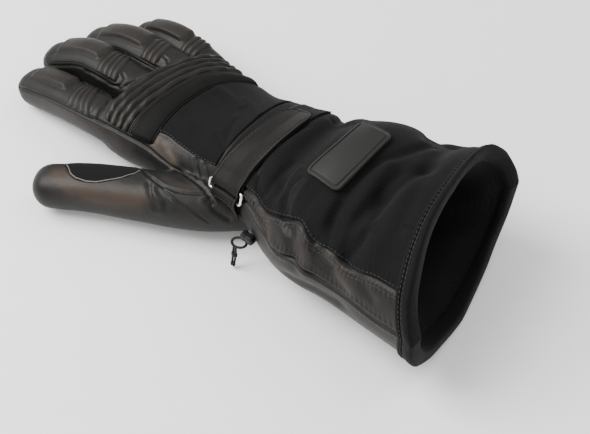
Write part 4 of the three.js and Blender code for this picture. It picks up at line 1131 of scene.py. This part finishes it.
trimmed("cuff_side_stitches", [beside_seam(side_grid, 2.3, 20, 186), beside_seam(side_grid, 4.6, 20, 186)],
        STITCH_TREE, THREAD, 0.0003, 0.0022, 0.0030)
trimmed("cuff_top_stitches", [beside_seam(top_grid, 2.2, 2, 165, False)],
        STITCH_TREE, THREAD, 0.00024, 0.0020, 0.0029)


# Mouth binding
# A doubled strip of the black cloth, folded over the padded edge of the mouth
# and held by two rows of stitches that draw a groove in it.
# The strip's section: x, and millimetres off the cuff
BINDING_PROFILE = np.array([
    [158.0, 0.25], [157.9, 1.2], [158.8, 1.9], [160.0, 2.0], [160.9, 1.4], [161.5, 1.0], [162.1, 1.4],
    [163.0, 2.0], [164.6, 2.5], [166.4, 2.5], [167.7, 1.9], [168.4, 0.3], [168.6, -2.2], [168.5, -5.4],
    [167.9, -7.8], [166.4, -9.0], [163.0, -9.3], [159.6, -9.1], [158.0, -8.6], [158.2, -7.7], [161.5, -7.4],
    [165.4, -7.5],
    [165.6, -3.5], [165.5, 0.3], [161.5, 0.3],
])


def binding_sway(angle):
    """The mouth's slight wave, in millimetres."""
    turn = np.radians(angle)
    return 0.7 * np.sin(3 * turn + 0.6) + 0.5 * np.sin(5 * turn + 2.1) + 0.25 * np.sin(11 * turn + 0.4)


def fullness(angle):
    """The padding's share of its mean thickness."""
    turn = np.radians(angle)
    return 1 + 0.12 * np.sin(7 * turn + 1.0) + 0.08 * np.sin(17 * turn)


def ring_faces(rings, around):
    """Faces of a tube that closes on itself."""
    return grid_faces(rings + 1, around, True) % (rings * around)


turns = np.arange(0, 360, 0.9)
keys = np.arange(len(BINDING_PROFILE) + 1)
profile = curve_at(keys, np.vstack([BINDING_PROFILE, BINDING_PROFILE[:1]]), np.linspace(0, keys[-1], 97)[:-1])
lift = profile[None, :, 1] * np.where(profile[None, :, 1] > 0, fullness(turns)[:, None], 1)
x = profile[None, :, 0] + (binding_sway(turns) * 0.6)[:, None] * smooth_step(157, 167, profile[None, :, 0])
binding = in_row(trunk_at(x, turns[:, None], 0.0, lift))
binding[..., 2] = np.maximum(binding[..., 2], 0.0)
mesh = new_mesh("mouth_binding", binding, ring_faces(len(turns), len(profile)))
# Painted shade in the stitched groove and under the strip's inner edge.
groove = np.exp(-((profile[:, 0] - 161.5) / 0.7) ** 2) * (profile[:, 1] > 0.6)
start_edge = np.exp(-((profile[:, 0] - 157.9) / 0.5) ** 2)
mark(mesh, "seam_shade", np.tile(np.maximum(0.9 * groove, 0.8 * start_edge), len(turns)))
piece = dressed(mesh, "mouth_binding", TEXTILE, ("hem_binding",))
loop_turns = np.arange(0, 360, 0.5)


def binding_line(x, rise):
    sway = binding_sway(loop_turns) * 0.6 * smooth_step(157, 167, x)
    line = in_row(trunk_at(x + sway, loop_turns, 0.0, rise * fullness(loop_turns)))
    line[:, 2] = np.maximum(line[:, 2], 0.0004)
    return line


trimmed("binding_stitches", [binding_line(160.6, 1.75), binding_line(162.4, 1.75)],
        STITCH_TREE, THREAD, 0.0003, 0.0022, 0.0031, True)


# Cuff lining
# A loose sleeve of brushed black cloth inside the cuff, from the wrist to the binding, slightly rumpled.
LINING_DEPTHS = np.array([[25.0, 8.0], [45.6, 11.0], [79.8, 12.0], [114.0, 14.0], [136.8, 12.0], [158.0, 6.4],
                          [165.2, 6.4]])
LINING_THICKNESS = 1.5
turns = np.arange(0, 360, 1.5)
x = np.linspace(25.0, 164.8, 120)[:, None]
rumple = (0.9 * np.sin(np.radians(turns)[None, :] * 5 + x * 0.09) * np.sin(x * 0.06 + 1.0)
          + 0.6 * np.sin(np.radians(turns)[None, :] * 9 - x * 0.13 + 2.0))
depth = (curve_at(LINING_DEPTHS[:, 0], LINING_DEPTHS[:, 1], x)
         + rumple * smooth_step(160, 140, x) * smooth_step(25, 40, x))
outer = in_row(trunk_at(x, turns[None, :], -depth))
inner = in_row(trunk_at(x, turns[None, :], -depth - LINING_THICKNESS))
rings, around = len(outer), len(turns)
count = rings * around
k = np.arange(around)
ends = [np.stack([base + k, base + (k + 1) % around, base + (k + 1) % around + count, base + k + count], -1)
        for base in (0, count - around)]
faces = np.concatenate([grid_faces(rings, around, True), grid_faces(rings, around, True, count), *ends])
mesh = new_mesh("cuff_lining_cloth", np.concatenate([outer.reshape(-1, 3), inner.reshape(-1, 3)]), faces)
cuff_lining = dressed(mesh, "cuff_lining_cloth", LINING, ("cuff_lining",))


# Label plate
# A moulded rubber patch with a raised rim and a groove inside it, sewn flat on the cuff, with a plain face;
# painted shade darkens the groove.
# The plate's edges: angle, and x of the front and of the rear
PLATE_EDGES = np.array([[69, 63.1, 91.2], [81, 65.0, 92.7], [93, 65.7, 93.5], [105, 63.8, 93.1],
                        [116, 61.6, 91.6]])
# Degrees that the rear edge lies nearer the thumb side than the front edge
PLATE_TURN = 4.5
CORNER_RADIUS = 4.5
# Inset from the edge and height of each ring, in millimetres
PLATE_RINGS = [(0.3, -1.2), (0.0, 0.2), (0.0, 1.3), (0.25, 1.9), (0.8, 2.25), (1.5, 2.3), (2.0, 2.1),
               (2.25, 1.6), (2.35, 1.25), (2.9, 1.25), (3.0, 1.5), (3.25, 1.78), (3.8, 1.85)]
GROOVE_RINGS = (7, 9)
PLATE_UNDER = -1.2
PLATE_FACE = [0.93, 0.85, 0.7, 0.5, 0.3, 0.1]
PLATE_RUBBER = smooth_stuff("plate_rubber", (0.0085, 0.0088, 0.0076), 0.002, 0.6, 0.0, 0.16, 1200.0, 0.25)
# Painted shade: the groove's faces get a far darker copy of the plate's rubber.
GROOVE_SHADE = smooth_stuff("groove_shade", (0.002, 0.002, 0.002), 0.001, 0.7, 0.0, 0.2, 900.0)
middle = (PLATE_EDGES[0, 0] + PLATE_EDGES[-1, 0]) / 2
half_wide = (PLATE_EDGES[2, 2] - PLATE_EDGES[2, 1]) / 2
plate_arc = in_row(trunk_at(78.0, np.linspace(69, 116, 60), 1.0))
half_long = np.linalg.norm(np.diff(plate_arc, axis=0), axis=1).sum() * 500


def rounded_box(half_u, half_v, corner_u, corner_v, steps, count, scale=(1, 1)):
    """Evenly spaced points round a rectangle with rounded corners; scale turns its units into lengths."""
    ring = []
    for first, sign_u, sign_v in ((0, 1, 1), (90, -1, 1), (180, -1, -1), (270, 1, -1)):
        for a in np.radians(np.linspace(first, first + 90, steps)):
            ring.append((sign_u * (half_u - corner_u) + corner_u * math.cos(a),
                         sign_v * (half_v - corner_v) + corner_v * math.sin(a)))
    ring = np.array(ring + ring[:1])
    keys = run_of(ring * scale)
    at = np.linspace(0, keys[-1], count + 1)[:-1]
    return np.stack([np.interp(at, keys, ring[:, 0]), np.interp(at, keys, ring[:, 1])], -1)


def plate_ring(inset, count=160):
    """The plate's outline drawn in, as distances in millimetres along the cuff and round it."""
    radius = max(CORNER_RADIUS - inset, 0.6)
    return rounded_box(half_wide - inset, half_long - inset, radius, radius, count // 8, count)


def plate_at(flat, height):
    angle = middle + flat[:, 1] / half_long * (PLATE_EDGES[-1, 0] - PLATE_EDGES[0, 0]) / 2
    front = curve_at(PLATE_EDGES[:, 0], PLATE_EDGES[:, 1], angle)
    rear = curve_at(PLATE_EDGES[:, 0], PLATE_EDGES[:, 2], angle)
    x = (front + rear) / 2 + flat[:, 0] / half_wide * (rear - front) / 2
    angle = angle + PLATE_TURN * (flat[:, 0] / half_wide + 1) / 2
    return in_row(trunk_at(x, angle, 0.0, 1.0 + height + fold_lift(x, angle)))


rings = [plate_at(plate_ring(inset), height) for inset, height in PLATE_RINGS]
last_inset, last_height = PLATE_RINGS[-1]
rings += [plate_at(plate_ring(last_inset) * share, last_height) for share in PLATE_FACE]
count = len(rings[0])
rings += [plate_at(np.zeros((1, 2)), height) for height in (PLATE_UNDER, last_height)]
mesh = new_mesh("plate", np.concatenate(rings), tube_faces(len(rings) - 2, count))
dressed(mesh, "plate", PLATE_RUBBER, ("label_plate",))
mesh.materials.append(GROOVE_SHADE)
# The groove's faces take the painted shade material.
for face in mesh.polygons:
    row = face.vertices[0] // count
    if len(face.vertices) == 4 and GROOVE_RINGS[0] <= row <= GROOVE_RINGS[1]:
        face.material_index = 1


# Wrist strap
# Two layers of leather with turned, stitched edges, run through a metal loop and laid back on themselves;
# hook-and-loop tape between the layers holds them. A short leather tab is the loop's other anchor.
STRAP_WIDTH, STRAP_THICKNESS = 26.5, 1.4
TAB_WIDTH = STRAP_WIDTH * 0.92
BAR_ANGLE, TAB_BAR_ANGLE = 160.0, 172.0
STRAP_LAYER, STRAP_TURN = 1.1, 2.3
PER_DEGREE = np.linalg.norm(trunk_at(4.4, BAR_ANGLE + 1) - trunk_at(4.4, BAR_ANGLE - 1)) / 2
STRAP_REACH, STRAP_UNDER, TAB_REACH = 94.0, 118.0, 22.0
# The strap's middle: angle in degrees and x in millimetres
STRAP_ROUTE = np.array([[40, 10.5], [96, 10.5], [119, 7.9], [135, 5.5],
                        [150, 4.4], [160, 4.4], [172, 4.7], [196, 6.8]])
STRAP_LEATHER = leather("strap_leather", (0.0038, 0.0033, 0.003), (0.0074, 0.0065, 0.0058),
                        (0.03, 0.0265, 0.023), 0.52, 0.7, 0.1)
# Near-black hook-and-loop tape, also standing in as painted shadow along the strap's cuff edge.
TAPE_AND_SHADOW = cloth("tape_and_shadow", (0.0008, 0.0008, 0.0008), (0.005, 0.005, 0.005), 0.0009, 0.02, 0.9)


def strap_at(part, angle, offset):
    """A point on the strap's bed: part runs from -1 at its hand edge to 1 at its cuff edge."""
    angle, offset, part = spread(angle, offset, part)
    at, half = curve_at(STRAP_ROUTE[:, 0], STRAP_ROUTE[:, 1], angle), STRAP_WIDTH / 2
    middle = trunk_at(at, angle, offset)
    edge = trunk_at(at + np.sign(part) * half, angle, offset)
    return in_row(middle + (edge - middle) * np.abs(part)[..., None])


def band_path(bar, direction, under, over, step=1.2):
    """Places along a band in degrees and millimetres off the glove: under layer, turn, and upper layer."""
    path = [(bar - direction * reach, STRAP_LAYER) for reach in np.arange(under, 1, -step)]
    for turn in np.linspace(-80, 80, 13):
        path.append((bar + direction * STRAP_TURN * math.cos(math.radians(turn)) / PER_DEGREE,
                     STRAP_LAYER + STRAP_TURN * (1 + math.sin(math.radians(turn)))))
    for reach in np.arange(1.5, over, step):
        settle = smooth_step(1, 15, reach)
        path.append((bar - direction * reach, (STRAP_LAYER + 2 * STRAP_TURN) * (1 - settle)
                     + (2 * STRAP_LAYER + STRAP_THICKNESS / 2 + 0.3) * settle))
    return np.array(path)


def band(name, path, width_at, node, groove_from, seam_inset=1.7):
    """A flat band with rounded turned edges, swept along its path, and grooved where its edges are sewn."""
    section = []
    half = STRAP_THICKNESS / 2
    for k in range(41):
        across = -1 + 2 * k / 40
        section.append((across, half * (1 - np.clip((abs(across) - 0.93) / 0.07, 0, 1) ** 2.2 * 0.75)))
    section += [(across, -height) for across, height in section[::-1]]
    section = np.array(section)
    run = np.gradient(path, axis=0) * [PER_DEGREE, 1]
    side = np.stack([-run[:, 1], run[:, 0]], -1) / np.linalg.norm(run, axis=1)[:, None]
    share = np.linspace(0, 1, len(path))
    width = np.array([width_at(s) for s in share])
    inset = (1 - np.abs(section[None, :, 0])) * (STRAP_WIDTH / 2) * width[:, None]
    length = run_of(path * [PER_DEGREE, 1])
    edge = np.minimum(inset, (length[-1] - length)[:, None])
    grooved = share[:, None] > groove_from
    groove = np.exp(-((edge - seam_inset) / 0.45) ** 2) * grooved * (np.abs(section[None, :, 1]) > 0)
    puff = 0.35 * np.exp(-((edge - 0.75) / 0.5) ** 2) * grooved
    height = section[None, :, 1] + np.sign(section[None, :, 1]) * (puff - 0.45 * groove)
    points = strap_at(section[None, :, 0] * width[:, None],
                      path[:, None, 0] + side[:, None, 0] * height / PER_DEGREE,
                      path[:, None, 1] + side[:, None, 1] * height)
    ends = points[[0, -1]].mean(1)
    mesh = new_mesh(name, np.concatenate([points.reshape(-1, 3), ends]), tube_faces(*points.shape[:2]))
    # Painted shade in the sewn grooves along the edges.
    mark(mesh, "seam_shade", np.r_[(0.8 * groove).ravel(), 0, 0])
    # Lighter worn colour along the turned edges: partly real wear, partly a painted highlight on the edges.
    edge_wear_and_highlight = np.clip(1.1 - edge / 1.1, 0, 1) * grooved + 0.22
    mark(mesh, "wear", np.r_[np.broadcast_to(edge_wear_and_highlight, groove.shape).ravel(), 0, 0])
    dressed(mesh, name, STRAP_LEATHER, (node,))


def round_end(share):
    reach = 0.07
    return 1.0 if share < 1 - reach else math.sqrt(max(0.1, 1 - ((share - 1 + reach) / reach) ** 2.6))


band("strap", band_path(BAR_ANGLE, 1, STRAP_UNDER, STRAP_REACH), round_end, "wrist_strap", 0.5)
band("loop_tab", band_path(TAB_BAR_ANGLE, -1, TAB_REACH / 2, TAB_REACH, 0.8),
     lambda share: TAB_WIDTH / STRAP_WIDTH, "strap_tab", 0.3, 2.4)
# Hook-and-loop tape under the strap's free layer, a little past its cuff edge; the dark strip it shows there
# is partly the tape and partly painted shadow of the strap.
tape_angles = np.linspace(BAR_ANGLE - STRAP_UNDER + 1.5, BAR_ANGLE - 14, 160)
fuzz = 0.35 * np.sin(tape_angles * 2.7) + 0.25 * np.sin(tape_angles * 6.1 + 1.0)
across = np.linspace(0, 1, 12)[None, :]
tape_and_shadow_rear = (1.075 + 0.022 * fuzz)[:, None]
tape_part = -0.8 + (tape_and_shadow_rear + 0.8) * across
tape_top = strap_at(tape_part, tape_angles[:, None], 2 * STRAP_LAYER + 0.15)
tape_low = strap_at(tape_part, tape_angles[:, None], STRAP_LAYER + STRAP_THICKNESS / 2 + 0.1)
dressed(new_mesh("strap_tape_and_shadow", *closed_sheet(tape_top, tape_low)), "strap_tape_and_shadow", TAPE_AND_SHADOW)
# Threads along both edges of the free layer, and the box stitch of the tab
upper = 2 * STRAP_LAYER + STRAP_THICKNESS + 0.3
angles = np.linspace(BAR_ANGLE - STRAP_REACH + 9, BAR_ANGLE - 15, 240)
edge_part = 1 - 1.7 / (STRAP_WIDTH / 2)
strap_threads = [strap_at(side * edge_part, angles, upper - 0.25) for side in (-1, 1)]
box = [(-0.74, 175), (0.74, 175), (0.74, 189.5), (-0.74, 189.5), (-0.74, 175)]
box_line = np.array([np.linspace(box[k], box[k + 1], 60) for k in range(4)]).reshape(-1, 2)
settle = smooth_step(1, 15, box_line[:, 1] - TAB_BAR_ANGLE)
box_rise = (STRAP_LAYER + 2 * STRAP_TURN + STRAP_THICKNESS / 2) * (1 - settle) + upper * settle + 0.3
box_threads = [strap_at(box_line[:, 0], box_line[:, 1], box_rise)]
trimmed("strap_threads", strap_threads + box_threads, STITCH_TREE, THREAD,
        0.00026, 0.0020, 0.0029)


# Strap loop
# A rounded rectangle of bright drawn wire that joins the strap to its tab.
LOOP_WIDTH, WIRE_RADIUS = 32.0, 0.00105
WIRE = smooth_stuff("loop_wire", (0.72, 0.72, 0.7), 0.03, 0.22, 1.0, 0.08, 400.0)


def swept(name, centres, radius, sides, closed):
    """A round bar along a centreline."""
    after = np.roll(centres, -1, 0) if closed else np.vstack([centres[1:], centres[-1:]])
    before = np.roll(centres, 1, 0) if closed else np.vstack([centres[:1], centres[:-1]])
    way = after - before
    way /= np.linalg.norm(way, axis=1, keepdims=True)
    flat = np.linalg.svd(centres - centres.mean(0))[2][-1]
    out = np.cross(flat, way)
    out /= np.linalg.norm(out, axis=1, keepdims=True)
    over = np.cross(way, out)
    turn = np.linspace(0, 2 * np.pi, sides, endpoint=False)
    radius = np.broadcast_to(radius, len(centres))[:, None, None]
    points = (centres[:, None] + radius * (np.cos(turn)[None, :, None] * out[:, None]
                                           + np.sin(turn)[None, :, None] * over[:, None]))
    if closed:
        return new_mesh(name, points, ring_faces(len(centres), sides))
    points = np.concatenate([points.reshape(-1, 3), centres[:1], centres[-1:]])
    return new_mesh(name, points, tube_faces(len(centres), sides))


# Half width as a share of the strap's half width, half length in degrees, and the corners in both
LOOP_HALF = (LOOP_WIDTH / STRAP_WIDTH, 6.0)
LOOP_CORNER = (0.2, 3.2)
outline = rounded_box(*LOOP_HALF, *LOOP_CORNER, 12, 160, [STRAP_WIDTH / 2, PER_DEGREE])
loop_middle = (BAR_ANGLE + TAB_BAR_ANGLE) / 2
loop_line = strap_at(outline[:, 0], loop_middle + outline[:, 1], STRAP_LAYER + STRAP_TURN)
dressed(swept("strap_ring", loop_line, WIRE_RADIUS, 20, True), "strap_ring", WIRE, ("strap_loop",))


# Wrist pull
# A dark moulded toggle on the side seam, a bight of glossy elastic cord through it,
# and the cord's doubled end hanging from it, bound together.
PULL_AT = np.array([33.06, -59.36, 30.4])
PULL_HALF = np.array([5.0, 3.0, 3.5])
CORD_RADIUS = 0.9
LOOP_HEIGHT, PULL_TOP, PULL_END = 5.5, 18.8, 1.0
# How far the bight and the hanging ends swing out from the toggle, and the ends' further fall outwards
SWING_OUT, SWING_FORWARD, FALL_OUT = 5.0, 4.0, 3.0
HANG_TOP, HANG_RADIUS = PULL_TOP + 1.6, 0.00082
# Where the ends are bound together: low, high and half depth; and the sides of each binding
CORD_BINDINGS, BINDING_SIDES = ((10.6, 13.4, 1.35), (3.2, 4.6, 1.1)), 24
TOGGLE = smooth_stuff("toggle", (0.005, 0.005, 0.005), 0.002, 0.38, 0.0, 0.2, 700.0, 0.15)
CORD = smooth_stuff("elastic_cord", (0.005, 0.005, 0.0055), 0.002, 0.4, 0.0, 0.35, 1600.0, 0.12)


def finished(form, name):
    """A smooth plain mesh from an edit mesh."""
    mesh = bpy.data.meshes.new(name)
    form.to_mesh(mesh)
    form.free()
    return shaded_smooth(mesh)


form = bmesh.new()
bmesh.ops.create_cube(form, size=2.0)
bmesh.ops.subdivide_edges(form, edges=form.edges, cuts=7, use_grid_fill=True)
for vertex in form.verts:
    spot = np.array(vertex.co)
    rounded = spot / (np.abs(spot) ** 5).sum() ** 0.2
    waist = 1 - 0.18 * np.exp(-(rounded[0] / 0.35) ** 2)
    vertex.co = Vector(in_row(PULL_AT + rounded * PULL_HALF * [1, waist, waist]))
dressed(finished(form, "toggle"), "toggle", TOGGLE, ("pull_slider",))
cord_x = PULL_AT[0] - 4
cord_top = PULL_AT[2] - PULL_HALF[2] - CORD_RADIUS - 0.4
turn = np.linspace(0, 2 * np.pi, 65)[:-1]
low = (1 - np.sin(turn)) / 2
bight = in_row(np.stack([cord_x - SWING_FORWARD * low + 5 * np.cos(turn), PULL_AT[1] - SWING_OUT * low,
                         cord_top - LOOP_HEIGHT / 2 + LOOP_HEIGHT / 2 * np.sin(turn)], -1))
hang_x, hang_y = cord_x - SWING_FORWARD, PULL_AT[1] - SWING_OUT
dressed(swept("cord_bight", bight, CORD_RADIUS / 1000, 16, True), "cord_bight", CORD,
        ("pull_loop",))
down = np.linspace(0, 1, 40)
ends = []
for side in (-1, 1):
    line = np.stack([hang_x + side * (0.85 + 0.3 * np.sin(np.pi * down)), hang_y - FALL_OUT * down ** 2,
                     HANG_TOP + (PULL_END - 0.7 - PULL_TOP) * down], -1)
    tip = np.sqrt(np.maximum(1 - ((down - 0.94) / 0.065) ** 2, 0.1))
    radius = HANG_RADIUS * np.where(down > 0.94, tip, 1)
    ends.append(swept(f"cord_end_{side}", in_row(line), radius, 14, False))
form = bmesh.new()
for part in ends:
    form.from_mesh(part)
turn = np.linspace(0, 2 * np.pi, BINDING_SIDES, endpoint=False)
for low, high, wide in CORD_BINDINGS:
    rings = []
    for z, share in ((low, 0.75), (low + 0.3, 1), (high - 0.3, 1), (high, 0.75)):
        fallen = (HANG_TOP - z) / (PULL_TOP + 0.7 - PULL_END)
        ring_x = hang_x + share * 1.9 * wide * np.cos(turn)
        ring_y = hang_y - FALL_OUT * fallen ** 2 + share * wide * np.sin(turn)
        rings.append(in_row(np.stack([ring_x, ring_y, np.full(BINDING_SIDES, z)], -1)))
    faces = grid_faces(len(rings), BINDING_SIDES, True).tolist()
    faces += [list(range(BINDING_SIDES))[::-1], list(range(3 * BINDING_SIDES, 4 * BINDING_SIDES))]
    form.from_mesh(new_mesh("binding", rings, faces))
dressed(finished(form, "cord_ends"), "cord_ends", CORD, ("pull_tab",))
